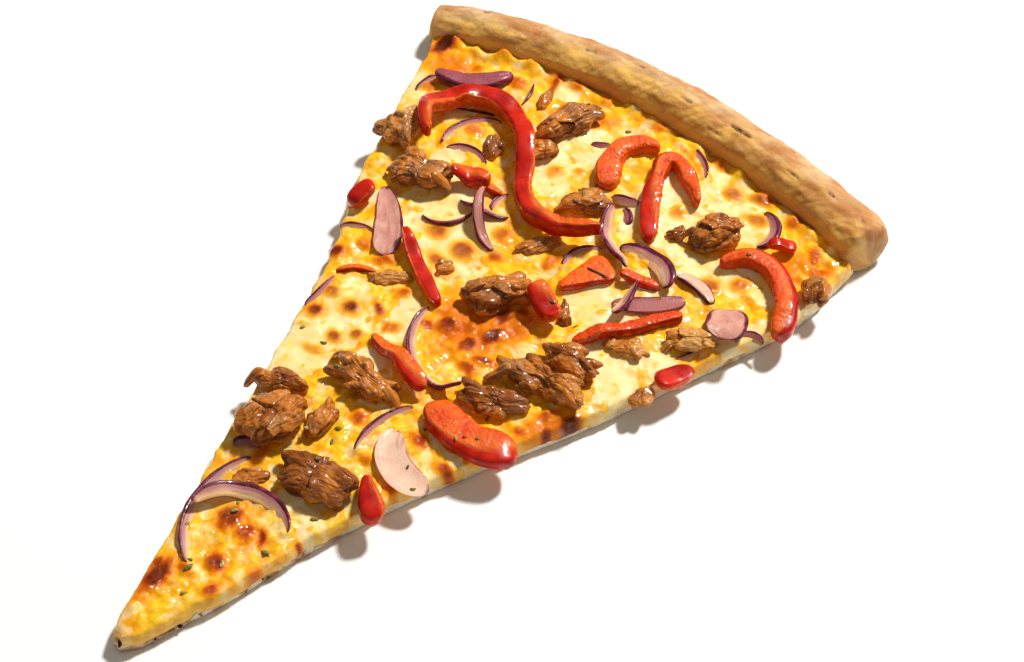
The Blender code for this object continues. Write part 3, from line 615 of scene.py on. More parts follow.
ragged = 0.42 * grain(flat, 4.2, 31.0) + 0.22 * grain(flat, 1.7, 33.0)
pale = np.zeros_like(x)
for patch in POOLS:
    pale = np.maximum(pale, patch[5] * (1.0 - ease(within(x, y, patch) + ragged, 0.62, 1.25)))
bank = ease(radius, CRUST_INNER - 4.5, CRUST_INNER)
pale = pale * (1.0 - 0.8 * ease(grain(flat, 3.1, 55.0), 0.36, 0.46)) * (1.0 - 0.85 * bank)
brown = np.zeros_like(x)
puff = np.zeros_like(x)
for patch in BLISTERS:
    out = within(x, y, patch) + 0.5 * ragged
    halo = 0.26 * (1.0 - ease(out, 0.85, 1.65))
    heart = max(0.0, 0.96 * patch[5] - 0.13) * (1.0 - ease(out, 0.35, 1.0))
    brown = np.maximum(brown, np.minimum(halo + heart, BROWN_LIMIT))
    if patch[2] < WIDE_TOAST:
        sunken = 0.35 * (1.0 - ease(out, 0.0, 0.5))
        puff = np.maximum(puff, (1.0 - ease(out, 0.55, 1.2)) * (0.8 - sunken))

# Pebbles are rounded cells, strong in the cheddar and faint in the pale pools.
pebble = np.sqrt(pebbles(flat, 2.3, 0.0))
fine = pebbles(flat, 1.1, 9.0)
rough = (1.0 - 0.82 * pale) * (1.0 + 0.5 * ease(x, 42.0, 60.0))
relief = rough * (1.20 * (pebble - 0.6) + 0.40 * (fine - 0.55) + 0.34 * grain(flat, 3.4, 40.0))
relief = relief + 0.38 * puff + 0.10 * brown * grain(flat, 0.9, 61.0) + 0.14 * grain(flat, 5.5, 43.0)

# The cheese climbs the sides of whatever lies on it, and stays under what it can't reach over.
toppings = surface_of([node for name, node in frame["nodes"].items()
                       if name not in ("dough", "cheese")])
surface = cheese_height(x, y)
climb_up = np.zeros_like(x)
ceiling = np.full_like(x, 99.0)
for spot in zip(*np.nonzero(climb == 1.0)):
    place = Vector((x[spot], y[spot], surface[spot]))
    near = toppings.find_nearest(place + 0.9 * UP, 3.0)[0]
    if near is not None:
        beside = math.hypot(near.x - place.x, near.y - place.y)
        climb_up[spot] = max(0.0, 1.0 - beside / 1.9) * max(0.0, 1.0 - max(0.0, near.z - place.z) / 2.2)
    over = toppings.ray_cast(place - UP, UP, 6.0)[0]
    if over is not None:
        ceiling[spot] = over.z + 0.05
surface = surface + relief * ease(climb, 0.55, 1.0) + 1.15 * climb_up ** 1.6
surface = np.minimum(surface, ceiling)
wave = grain(flat, 4.0, 91.0)
surface = surface + bank * np.clip(0.7 + 2.2 * wave, -0.2, 2.0)
height = CHEESE_UNDER + (surface - CHEESE_UNDER) * rise

# Melted runs hang a little way down the cuts, more in some places than in others.
hang = 1.75 + grain(flat, 5.0, 71.0)
height = height - np.clip(hang, 0.4, 2.7) * (1.0 - ease(climb, 0.0, 0.75))
melt[..., 2] = height
work = woven(melt, pale=pale, brown=brown, lump=pebble, cut_side=1.0 - ease(climb, 0.35, 1.0))
close(work)

# Oil is a shared effect: a thin broken film that makes wet patches on anything baked with it.
oil, start, end = new_group("oil film", {"Place": "place", "Size": "value", "Spread": "value"},
                            {"Wet": "value"})
drops = oil.nodes.new("ShaderNodeTexNoise")
drops.inputs["Detail"].default_value = 3.0
drops.inputs["Roughness"].default_value = 0.6
per_size = oil.nodes.new("ShaderNodeMath")
per_size.operation = "DIVIDE"
per_size.inputs[0].default_value = 1.0
limit = oil.nodes.new("ShaderNodeMath")
limit.operation = "SUBTRACT"
limit.inputs[0].default_value = 1.0
film = oil.nodes.new("ShaderNodeMapRange")
film.interpolation_type = "SMOOTHSTEP"
film.inputs["From Max"].default_value = 0.68
oil.links.new(start.outputs["Size"], per_size.inputs[1])
oil.links.new(per_size.outputs[0], drops.inputs["Scale"])
oil.links.new(start.outputs["Place"], drops.inputs["Vector"])
oil.links.new(start.outputs["Spread"], limit.inputs[1])
oil.links.new(limit.outputs[0], film.inputs["From Min"])
oil.links.new(drops.outputs["Fac"], film.inputs["Value"])
oil.links.new(film.outputs["Result"], end.inputs["Wet"])


def oiled(look, size, spread, roughness, coat):
    """The roughness and coat of a finish, each from dry to wet, under a film of oil."""
    wet = look.group(oil, Place=look.place, Size=size, Spread=spread)["Wet"]
    return {"roughness": look.between(wet, 0.0, 1.0, *roughness),
            "coat": look.between(wet, 0.0, 1.0, *coat)}


look = Finish("melted cheese", roughness=0.34, coat=0.3, flesh=0.12, depth=1.3)
golden = look.blend(look.between(look.mottle(5.0, 2.0, seed=2.0), 0.38, 0.62), CHEDDAR, CHEDDAR_DEEP)
# The tops of the pebbles are painted lighter: a painted highlight on the lumps.
lit_pebble_tops = look.plus(look.mark("lump"), look.times(look.mottle(1.4, 3.0, seed=6.0), 0.5))
golden = look.blend(look.between(lit_pebble_tops, 0.85, 1.3, 0.0, 0.75), golden, CHEDDAR_LIGHT)
creamy = look.blend(look.between(look.mottle(4.0, 3.0, seed=4.0), 0.35, 0.65), CREAM, CREAM_LIGHT)
warm = look.between(look.mottle(6.5, 3.0, seed=14.0), 0.48, 0.72, 0.0, 0.45)
creamy = look.blend(warm, creamy, CHEDDAR_LIGHT)
flecks = look.between(look.mottle(2.6, 2.0, seed=12.0), 0.54, 0.68, 0.0, 0.75)
creamy = look.blend(flecks, creamy, CHEDDAR)
streaked = look.between(look.mottle(3.4, 3.0, 0.5, seed=23.0), 0.48, 0.68, 0.0, 0.62)
streaked = look.times(streaked, look.between(look.mark("brown"), 0.05, 0.3, 1.0, 0.1))
golden = look.blend(streaked, golden, CREAM_LIGHT)
border = look.plus(look.mark("pale"), look.swing(look.mottle(2.6, 3.0, seed=27.0), 0.7))
cheese_colour = look.blend(look.between(border, 0.28, 0.58), golden, creamy)
cheese_colour = look.blend(look.times(look.mark("cut_side"), 0.25), cheese_colour, RIND)
broken = look.swing(look.mottle(1.5, 3.0, 0.6, seed=8.0), 0.45)
amount = look.plus(look.mark("brown"), look.times(broken, look.mark("brown")))
cheese_colour = look.group(browning, Colour=cheese_colour, Amount=amount)["Colour"]
pitted = look.plus(look.mottle(0.9, 3.0, 0.5, seed=1.0), look.times(look.cells(1.1), -0.4))
pitted = look.times(pitted, look.between(look.mark("pale"), 0.3, 0.8, 1.0, 0.35))
finish = look.wear(cheese_colour, height=pitted, relief=0.16,
                   **oiled(look, 3.2, 0.52, (0.46, 0.20), (0.0, 0.8)))
served("cheese_layer", work, finish, "cheese")


# Roast meat
# Slow-cooked meat, torn by hand along its fibres into chunks and shreds, browned where it stood
# above the cheese and glossy with its own fat. Each piece is lumps round a core, as its solid is.
MEAT_SINK = 0.55
MEAT_FACET = (7.2, 4.4, 3.6)
LARGE_CHUNK = 60.0
SHRED_RING = 20
SHRED_STRIDE = 0.35
MEAT_DARK = (0.070, 0.017, 0.004)
MEAT_BROWN = (0.28, 0.078, 0.010)
MEAT_GOLD = (0.54, 0.172, 0.018)
MEAT_PALE = (0.66, 0.32, 0.080)
MEAT_GREY = (0.30, 0.145, 0.065)

# name, centre, (length, width, height), heading, lumps, seed, pale share, shreds
CHUNKS = (
    ("meat_left_crumbly", (-44.0, 45.0), (13.0, 9.4, 7.5), 100, 7, 1, 0.80, 0),
    ("meat_left_strips", (-32.0, 37.0), (15.5, 11.0, 6.0), 22, 7, 2, 0.45, 3),
    ("meat_back_spiky", (-14.2, 71.2), (20.0, 8.0, 5.5), 70, 7, 3, 0.30, 5),
    ("meat_back_lump", (-14.0, 60.6), (9.5, 7.0, 4.2), 60, 5, 4, 0.35, 1),
    ("meat_back_sunk", (3.9, 53.4), (13.0, 8.0, 3.6), 40, 6, 5, 0.40, 1),
    ("meat_right_chunk", (33.4, 62.2), (13.5, 9.5, 6.8), 62, 7, 6, 0.22, 2),
    ("meat_right_cut", (60.6, 62.4), (8.8, 6.4, 5.5), 100, 6, 7, 0.30, 0),
    ("meat_middle", (5.0, 18.6), (18.0, 10.0, 6.0), 50, 7, 8, 0.25, 2),
    ("meat_pale_middle", (3.0, 36.4), (13.5, 5.6, 2.6), 52, 5, 9, 0.75, 2),
    ("meat_low_lumps", (22.8, -5.6), (19.0, 7.0, 5.0), 24, 7, 10, 0.08, 0),
    ("meat_wide_slab", (28.2, 4.4), (23.0, 8.4, 6.4), 10, 8, 11, 0.50, 2),
    ("meat_wide_back", (29.6, 12.4), (15.0, 6.6, 5.2), 0, 6, 27, 0.12, 1),
    ("meat_front_arch", (-16.8, -29.4), (15.5, 5.4, 5.0), 26, 5, 12, 0.30, 1),
    ("meat_front_heap", (-10.6, -38.6), (15.0, 13.5, 8.5), 80, 8, 13, 0.40, 1),
    ("meat_front_strand", (-3.6, -31.6), (12.0, 5.6, 4.6), 102, 5, 21, 0.25, 1),
    ("meat_front_slab", (-2.6, -18.6), (19.0, 7.6, 5.8), -8, 7, 22, 0.45, 2),
    ("meat_front_wide", (7.0, -45.0), (18.5, 11.5, 6.4), 18, 8, 23, 0.05, 2),
    ("meat_golden_left", (37.0, 24.4), (10.0, 6.0, 2.8), 28, 5, 24, 0.95, 1),
    ("meat_golden_right", (46.2, 33.6), (12.2, 6.4, 3.2), 38, 6, 25, 0.95, 2),
    ("meat_cut_bit", (46.8, 15.8), (7.8, 5.6, 3.2), 70, 4, 26, 0.70, 0),
)

# Bits that have sunk into the cheese and belong to its solid
SUNK = 0.6
SUNK_CHUNKS = (
    ("meat_bit_middle", (19.6, 24.0), (9.0, 3.4, 3.6), 124, 3, 14, 0.20, 1),
    ("meat_bit_golden", (-9.9, 18.8), (5.2, 4.0, 2.4), 40, 3, 15, 0.80, 0),
    ("meat_sunk_left", (-17.9, 9.2), (10.5, 4.4, 2.3), 40, 4, 16, 0.70, 1),
    ("meat_sunk_front", (-5.6, -52.0), (9.4, 5.8, 2.2), 40, 4, 17, 0.60, 0),
    ("meat_bit_shadow", (-24.8, 55.1), (8.6, 5.4, 3.4), 120, 4, 18, 0.15, 0),
    ("meat_shred_crust", (-24.1, 75.0), (7.4, 3.0, 2.6), 100, 3, 19, 0.30, 1),
    ("meat_bit_right", (25.8, 58.4), (5.0, 4.2, 4.0), 60, 3, 20, 0.20, 0),
)


def make_lumps(length, width, height, count, seed):
    """The chunk's core and its lumps, as centre, radii and turn."""
    draw = random.Random(seed)
    lumps = [(Vector((0, 0, 0.4 * height)), (0.42 * length, 0.42 * width, 0.46 * height), 0.0)]
    for i in range(count):
        around = math.tau * (i + draw.uniform(-0.3, 0.3)) / count
        out = draw.uniform(0.55, 1.0)
        centre = Vector((0.3 * length * out * math.cos(around),
                         0.3 * width * out * math.sin(around),
                         height * draw.uniform(0.3, 0.62)))
        radii = (length * draw.uniform(0.17, 0.3), width * draw.uniform(0.14, 0.25),
                 height * draw.uniform(0.26, 0.42))
        lumps.append((centre, radii, draw.uniform(-0.7, 0.7)))
    return lumps


def lump_reach(ways, origin, lumps):
    """How far the lumps reach from the origin in each way."""
    best = np.zeros(len(ways))
    for centre, radii, turn in lumps:
        spin = np.array(Matrix.Rotation(-turn, 3, "Z")) / np.array(radii)[:, None]
        start = spin @ np.array(origin - centre)
        rays = ways @ spin.T
        a = (rays ** 2).sum(1)
        b = rays @ start
        inside = b * b - a * (start @ start - 1.0)
        hit = (np.sqrt(np.maximum(inside, 0.0)) - b) / a
        best = np.where(inside > 0.0, np.maximum(best, hit), best)
    return best


def cell_gaps(places, size):
    """Distances to the nearest and second nearest of scattered points, and a value for each cell."""
    near = []
    for spot in (np.asarray(places) / np.array(size)).tolist():
        found, centres = noise.voronoi(spot)
        near.append((found[0], found[1], noise.cell(centres[0] * 7.3)))
    return np.array(near).T


def walk(start, heading, arcs, stride):
    """Stations along arcs of (length, turn in degrees), as x, y, heading and length so far."""
    total = sum(length for length, _ in arcs)
    steps = max(8, round(total / stride))
    x, y = start
    angle = math.radians(heading)
    stations = [(x, y, angle, 0.0)]
    fine = 4
    for i in range(steps * fine):
        travelled = total * (i + 0.5) / (steps * fine)
        for length, turn in arcs:
            if travelled <= length:
                break
            travelled -= length
        step = total / (steps * fine)
        bend = math.radians(turn) * step / length
        x += step * math.cos(angle + bend / 2)
        y += step * math.sin(angle + bend / 2)
        angle += bend
        if (i + 1) % fine == 0:
            stations.append((x, y, angle, total * (i + 1) / (steps * fine)))
    return np.array(stations)


def even_out(values, reach):
    """A running mean over reach neighbours on each side."""
    padded = np.concatenate((np.full(reach, values[0]), values, np.full(reach, values[-1])))
    return np.convolve(padded, np.full(2 * reach + 1, 1.0 / (2 * reach + 1)), "valid")


def end_round(stations, radius):
    """1 along a strip, falling to 0 in a round nose at both ends."""
    run = stations[:, 3]
    near = np.minimum(run, run[-1] - run) / radius
    return np.sqrt(np.clip(1.0 - (1.0 - np.clip(near, 0.0, 1.0)) ** 2, 0.0, 1.0))


def swept(stations, base, wide, tall, across, up, push, nose, **marks):
    """A section of across and up shares carried along the stations and pushed out in places."""
    x, y, angle = (stations[:, k][:, None] for k in range(3))
    nose = nose[:, None]
    side = across * wide[:, None] * nose
    lift = base[:, None] + tall[:, None] * (0.5 + (up - 0.5) * nose)
    slope = np.hypot(across * wide[:, None], (up - 0.5) * tall[:, None]) + 0.001
    side = side + push * nose * across * wide[:, None] / slope
    lift = lift + push * nose * (up - 0.5) * tall[:, None] / slope
    return woven(triples(x - np.sin(angle) * side, y + np.cos(angle) * side, lift), **marks)


def joined(works):
    """Several closed meshes as one, with their marks."""
    whole = works[0]
    for work in works[1:]:
        passed = bpy.data.meshes.new("passed")
        work.to_mesh(passed)
        work.free()
        whole.from_mesh(passed)
        bpy.data.meshes.remove(passed)
    return whole


def meat_body(size, count, seed, pale):
    """The lumps, torn into flat planes at uneven levels, with fine fibres along them."""
    length, width, height = size
    lumps = make_lumps(length, width, height, count, seed)
    origin = Vector((0.0, 0.0, 0.4 * height))
    work = bmesh.new()
    layers = {name: work.verts.layers.float.new(name) for name in ("fibre", "hollow", "pale")}
    detail = 6 if length * width > LARGE_CHUNK else 5
    bmesh.ops.create_icosphere(work, subdivisions=detail, radius=1.0)
    ways = np.array([vertex.co.normalized() for vertex in work.verts])
    reach = lump_reach(ways, origin, lumps)
    local = np.array(origin) + ways * reach[:, None]
    bent = local + 0.9 * np.stack([grain(local, 4.0, seed + 11.0 * k) for k in range(3)], -1)
    nearest, second, level = cell_gaps(bent + 31.0 * seed, MEAT_FACET)
    facet = 1.0 - np.minimum(nearest, 1.2)
    cleft = 1.0 - ease(second - nearest, 0.0, 0.10)
    thread = grain(bent / np.array((3.0, 0.42, 0.42)), 1.0, seed * 5.0)
    crumble = grain(local, 0.9, seed * 9.0)
    crag = grain(local, 3.6, seed * 7.0) + 0.45 * grain(local, 1.8, seed * 3.0)
    scale = min(1.0, height / 5.5)
    relief = scale * (0.22 * (facet - 0.45) + 0.90 * level - 0.12 * cleft + 0.9 * crag)
    relief = relief + 0.06 * thread + 0.18 * crumble
    torn = np.array(origin) + ways * np.maximum(0.3, reach + relief)[:, None]
    torn[:, 2] = np.maximum(0.0, torn[:, 2])
    shade = pale + 0.30 * level
    for vertex, place, line, deep, light in zip(work.verts, torn, 0.5 + thread, cleft, shade):
        vertex.co = place
        vertex[layers["fibre"]] = line
        vertex[layers["hollow"]] = deep
        vertex[layers["pale"]] = light
    return work


def meat_shred(body, draw, centre, size, heading, side_way, pale):
    """A torn strand that lies over the piece and runs out past its end."""
    length, width, height = size
    aim = math.radians(heading)
    out = draw.uniform(0.10, 0.30) * length * side_way
    aside = draw.uniform(-0.28, 0.28) * width
    start = (centre[0] + out * math.cos(aim) - aside * math.sin(aim),
             centre[1] + out * math.sin(aim) + aside * math.cos(aim))
    way = heading + (0.0 if side_way > 0 else 180.0) + draw.uniform(-30.0, 30.0)
    run = draw.uniform(0.26, 0.40) * length
    stations = walk(start, way, ((run, draw.uniform(-35.0, 35.0)),), SHRED_STRIDE)
    thick = draw.uniform(1.5, 2.4) * min(1.0, 0.4 + height / 9.0)
    line = []
    for x, y, _, _ in stations:
        hit = body.ray_cast(Vector((x, y, ABOVE)), -UP)[0]
        ground = CHEESE_LEVEL - 0.2 if hit is None else hit.z
        line.append(max(ground, line[-1] - 0.3) if line else ground)
    line = even_out(np.array(line), 3) - 0.62 * thick
    ring = np.linspace(0.0, math.tau, SHRED_RING + 1)[None, :]
    share = (stations[:, 3] / stations[-1, 3])[:, None]
    cross = triples(share * run / 3.0, np.cos(ring) * 1.8, np.sin(ring) * 1.8)
    fibre = grain(cross, 1.0, draw.uniform(0.0, 50.0))
    thin = np.sqrt(1.0 - (2.0 * share[:, 0] - 1.0) ** 4) * (1.0 - 0.45 * share[:, 0])
    work = swept(stations, line, 1.5 * thick * thin, thick * thin, 0.5 * np.cos(ring),
                 0.5 + 0.5 * np.sin(ring), 0.42 * thick * fibre, end_round(stations, 0.8),
                 fibre=0.5 + fibre, hollow=0.0, pale=pale + 0.1)
    close(work)
    return work


def torn_meat(centre, size, heading, count, seed, pale, shreds, base):
    """One piece, set down in its place, with the shreds that hang off it."""
    work = meat_body(size, count, seed, pale)
    turn = Matrix.Rotation(math.radians(heading), 3, "Z")
    bmesh.ops.rotate(work, verts=work.verts[:], cent=(0.0, 0.0, 0.0), matrix=turn)
    bmesh.ops.translate(work, verts=work.verts[:], vec=(centre[0], centre[1], base))
    bmesh.ops.recalc_face_normals(work, faces=work.faces[:])
    body = BVHTree.FromBMesh(work)
    draw = random.Random(seed + 100)
    parts = [work]
    for k in range(shreds):
        parts.append(meat_shred(body, draw, centre, size, heading, 1.0 if k % 2 else -1.0, pale))
    return joined(parts)


look = Finish("roast meat", roughness=0.42, coat=0.2, flesh=0.06, depth=0.8)
tone = look.plus(look.mark("pale"), look.swing(look.mottle(3.6, 4.0, 0.6, seed=3.0), 2.8))
meat_colour = look.blend(look.between(tone, 0.0, 0.55), MEAT_BROWN, MEAT_GOLD)
meat_colour = look.blend(look.between(tone, 0.60, 1.15), meat_colour, MEAT_PALE)
greyish = look.between(look.mottle(6.0, 2.0, seed=31.0), 0.50, 0.64, 0.0, 0.50)
meat_colour = look.blend(greyish, meat_colour, MEAT_GREY)
# Fibre grooves are painted darker and fibre ridges lighter: partly the meat's own fibre tone, partly
# painted shade in the grooves and painted light on the ridges.
fibre_tone_and_shade = look.plus(look.mark("fibre"), look.swing(look.mottle(0.7, 4.0, 0.65), 1.3))
meat_colour = look.blend(look.between(fibre_tone_and_shade, 0.36, -0.20, 0.0, 0.45), meat_colour, MEAT_DARK)
meat_colour = look.blend(look.between(fibre_tone_and_shade, 0.80, 1.4, 0.0, 0.40), meat_colour, MEAT_PALE)
# The clefts between the torn planes are painted dark: painted shade in the cracks.
meat_colour = look.blend(look.times(look.mark("hollow"), 0.42), meat_colour, MEAT_DARK)
threads = look.plus(look.mottle(0.8, 4.0, 0.6, seed=5.0), look.mark("fibre"))
finish = look.wear(meat_colour, height=threads, relief=0.16,
                   **oiled(look, 0.9, 0.62, (0.50, 0.20), (0.0, 1.0)))
for name, *shape in CHUNKS:
    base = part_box(name)[0].z / MM - MEAT_SINK
    served("torn_" + name, torn_meat(*shape, base), finish, name)
works = []
for _, centre, *shape in SUNK_CHUNKS:
    x, y = np.array(centre)[:, None]
    works.append(torn_meat(centre, *shape, float(cheese_height(x, y)[0]) - SUNK))
served("sunk_meat", joined(works), finish, "cheese")


# Red peppers
# Strips cut across a sweet red pepper and softened in the oven. One side keeps its deep red
# shiny skin, and the others are the orange-red flesh, grained where the knife went through.
STRIP_SINK = 0.6
STRIP_STRIDE = 0.42
PEPPER_RING = 40
PEPPER_SKIN = (0.36, 0.004, 0.001)
PEPPER_SKIN_BRIGHT = (0.58, 0.014, 0.002)
PEPPER_FLESH = (0.66, 0.058, 0.004)
PEPPER_ORANGE = (0.80, 0.135, 0.006)
PEPPER_EDGE = (0.90, 0.34, 0.06)

# name, (start, heading, arcs), (width at start, width at end, height, blunt),
# skin side at start and end in degrees up from the left of the heading, and how orange
PEPPERS = (
    ("pepper_left_edge", ((-38.2, 19.6), 94, ((7, -43),)), (5.0, 4.8, 3.8, 3), (80, 60), 0.1),
    ("pepper_half_moon", ((-25.2, 40), 60, ((10, -71),)), (5.0, 5.2, 3.0, 2), (150, 170), 0.35),
    ("pepper_left_bend", ((-23, 20), -33, ((13, 1), (10, 5))), (3.6, 3.6, 3.4, 5), (40, 80), 0.15),
    ("pepper_sunk_strip", ((-10, -7), -12, ((21, -11),)), (3.2, 5.4, 2.6, 4), (185, 150), 0.75),
    ("pepper_wide_front", ((13, -13.5), -35, ((24, 70),)), (8.4, 9.6, 3.6, 6), (205, 148), 0.55),
    ("pepper_front_wedge", ((14.4, -37.6), -50, ((12, 17),)), (3.0, 6.6, 4.2, 4), (150, 130), 0.3),
    ("pepper_middle_wedge", ((11, 24), -28, ((11, 6),)), (5.6, 4.8, 3.4, 4), (170, 120), 0.6),
    ("pepper_flat_middle", ((14, 29), 66, ((14, -2),)), (3.0, 9.4, 2.0, 6), (190, 215), 0.75),
    ("pepper_sliver", ((23, 40), 31, ((10, -35),)), (3.2, 2.8, 2.0, 3), (200, 150), 0.35),
    ("pepper_straight", ((26, 18), 54, ((26, 1),)), (3.6, 3.4, 3.0, 8), (215, 200), 0.3),
    ("pepper_curl", ((8, 77), 176, ((11, 95), (11, 48))), (3.6, 7.6, 3.6, 6), (185, 205), 0.65),
    ("pepper_arch", ((23, 52), 130, ((24, -23), (5, -134), (13, -24))), (5.4, 3.4, 4.0, 6),
     (50, -20), 0.5),
    ("pepper_right_curve", ((39.4, 56), 74, ((14, -100), (19, -60))), (4.2, 6.4, 4.2, 6),
     (10, 20), 0.35),
    ("pepper_stub", ((45, 66.4), 44, ((7, -8),)), (3.0, 3.2, 2.6, 4), (60, 70), 0.1),
    ("pepper_cut_edge", ((48, 19), 76, ((10, -21),)), (6.0, 5.0, 2.8, 3), (120, 60), 0.4),
    ("pepper_hook", ((-35.5, 45.5), 158, ((11, -66), (25, -128), (19, -24), (29, 104))),
     (5.2, 4.0, 4.6, 8), (20, 185), 0.6),
)
SUNK_PEPPERS = (
    ("pepper_scrap", ((-18, 44), 9, ((5, -12),)), (2.6, 2.0, 2.4, 3), (200, 200), 1.0),
    ("pepper_thread", ((-29, 3), 67, ((10, -66),)), (1.8, 1.8, 1.9, 4), (200, 200), 0.9),
)


def taper(share, blunt):
    """Share of the full width along a strip; a high blunt keeps it wide up to the ends."""
    return np.maximum(0.3, np.sqrt(np.maximum(0.0, 1.0 - np.abs(2.0 * share - 1.0) ** blunt)))


def rest_line(name, stations):
    """Height of the solid's underside along its strip, or the cheese for a sunk one."""
    if name not in frame["nodes"]:
        return cheese_height(stations[:, 0], stations[:, 1]) - SUNK
    tree = surface_of([frame["nodes"][name]])
    found = []
    for x, y, _, _ in stations:
        hit = tree.ray_cast(Vector((x, y, -5.0)), UP)[0]
        if hit is None:
            hit = tree.find_nearest(Vector((x, y, 0.0)))[0]
        found.append(hit.z)
    return even_out(np.array(found), 4)


def laid_strip(name, route, size):
    """A strip's stations, the share of its way, and its widths, heights and underside there."""
    start, heading, arcs = route
    width_start, width_end, height, blunt = size
    stations = walk(start, heading, arcs, STRIP_STRIDE)
    share = stations[:, 3] / stations[-1, 3]
    wide = (width_start + (width_end - width_start) * share) * taper(share, blunt)
    tall = height * (0.55 + 0.45 * taper(share, max(blunt, 3)))
    sink = STRIP_SINK if name in frame["nodes"] else 0.0
    return stations, share, wide, tall, rest_line(name, stations) - sink


def serve_strips(rows, sunk_rows, make, finish, slot):
    """Each strip as a piece of its own, and the sunk ones as one joined piece."""
    for row in rows:
        served("baked_" + row[0], make(*row), finish, row[0])
    served("sunk_" + slot + "s", joined([make(*row) for row in sunk_rows]), finish, "cheese")


def pepper_strip(name, route, size, skin_side, orange):
    """A soft thick strip, smooth on its skin side and grained on its flesh."""
    stations, share, wide, tall, base = laid_strip(name, route, size)
    ring = np.linspace(0.0, math.tau, PEPPER_RING + 1)[None, :]
    across = 0.5 * np.sign(np.cos(ring)) * np.abs(np.cos(ring)) ** 0.48
    up = 0.5 + 0.5 * np.sign(np.sin(ring)) * np.abs(np.sin(ring)) ** 0.54
    seed = sum(map(ord, name)) % 97
    swell = grain(triples(stations[:, 3] / 4.5, 0.0, 0.0), 1.0, seed + 20.0)
    wide = wide * (1.0 + 0.16 * swell)
    tall = tall * (1.0 - 0.12 * swell)
    side = np.radians(skin_side[0] + (skin_side[1] - skin_side[0]) * share)[:, None]
    facing = np.cos(ring - side)
    round_it = triples(stations[:, 3][:, None] / 2.4, 1.5 * across, 1.5 * up)
    skin = ease(facing + 0.12 * grain(round_it, 1.0, seed), 0.30, 0.50)
    dent = grain(round_it / 2.0, 1.0, seed + 3.0)
    knife = grain(round_it * np.array((2.6, 2.2, 2.2)), 1.0, seed + 5.0)
    crease = np.abs(grain(round_it * np.array((1.1, 0.35, 0.35)), 1.0, seed + 9.0))
    fold = 1.0 - ease(crease, 0.0, 0.10)
    hollow = ease(-facing, 0.1, 0.95)
    push = 0.42 * dent + (1 - skin) * 0.20 * knife - 0.20 * fold * (1 - skin) - 0.42 * hollow
    lip = ease(facing, 0.18, 0.36) * (1 - ease(facing, 0.36, 0.6))
    push = push * min(1.0, size[2] / 3.2) + 0.12 * lip
    nose = end_round(stations, 0.75)
    work = swept(stations, base, wide, tall, across, up, push, nose, skin=skin, lip=lip,
                 orange=orange, knife=0.5 + knife)
    close(work)
    return work


look = Finish("baked red pepper", roughness=0.26, coat=0.5, flesh=0.16, depth=1.2)
flesh_tone = look.plus(look.mark("orange"), look.swing(look.mottle(3.5, 3.0), 1.3))
flesh = look.blend(look.between(flesh_tone, 0.2, 0.95), PEPPER_FLESH, PEPPER_ORANGE)
grained = look.plus(look.mark("knife"), look.swing(look.mottle(0.7, 3.0, 0.6), 0.9))
flesh = look.blend(look.between(grained, 0.45, -0.2, 0.0, 0.7), flesh, PEPPER_SKIN_BRIGHT)
flesh = look.blend(look.between(grained, 0.9, 1.5, 0.0, 0.35), flesh, PEPPER_EDGE)
outside = look.blend(look.between(look.mottle(4.0, 2.0, seed=8.0), 0.35, 0.65),
                     PEPPER_SKIN, PEPPER_SKIN_BRIGHT)
pepper_colour = look.blend(look.mark("skin"), flesh, outside)
# The raised lip where the skin meets the flesh is painted paler: partly its paler edge, partly a
# painted highlight on the lip.
pepper_colour = look.blend(look.times(look.mark("lip"), 0.30), pepper_colour, PEPPER_EDGE)
scorched = look.between(look.mottle(6.0, 3.0, seed=21.0), 0.66, 0.78, 0.0, 0.55)
pepper_colour = look.group(browning, Colour=pepper_colour, Amount=scorched)["Colour"]
bare = look.reckon("SUBTRACT", 1.0, look.mark("skin"))
pits = look.times(look.plus(look.mottle(0.4, 3.0, 0.6), look.cells(0.7)), bare)
finish = look.wear(pepper_colour, height=pits, relief=0.14,
                   **oiled(look, 2.4, 0.56, (0.42, 0.16), (0.1, 0.9)))
serve_strips(PEPPERS, SUNK_PEPPERS, pepper_strip, finish, "pepper")


# Red onions
# Thin slices of red onion. A slice is a pale, half clear ring with a purple skin along one edge,
# and a petal is one curved layer of it lying flat, with its veins running lengthwise.
ONION_RING = 32
ONION_DIP = 0.62
ONION_SKIN = (0.065, 0.004, 0.018)
ONION_PURPLE = (0.23, 0.026, 0.062)
ONION_PINK = (0.52, 0.22, 0.18)
ONION_WHITE = (0.80, 0.54, 0.39)
ONION_SOAKED = (0.84, 0.56, 0.22)
ONION_BLUSH = (0.44, 0.17, 0.18)

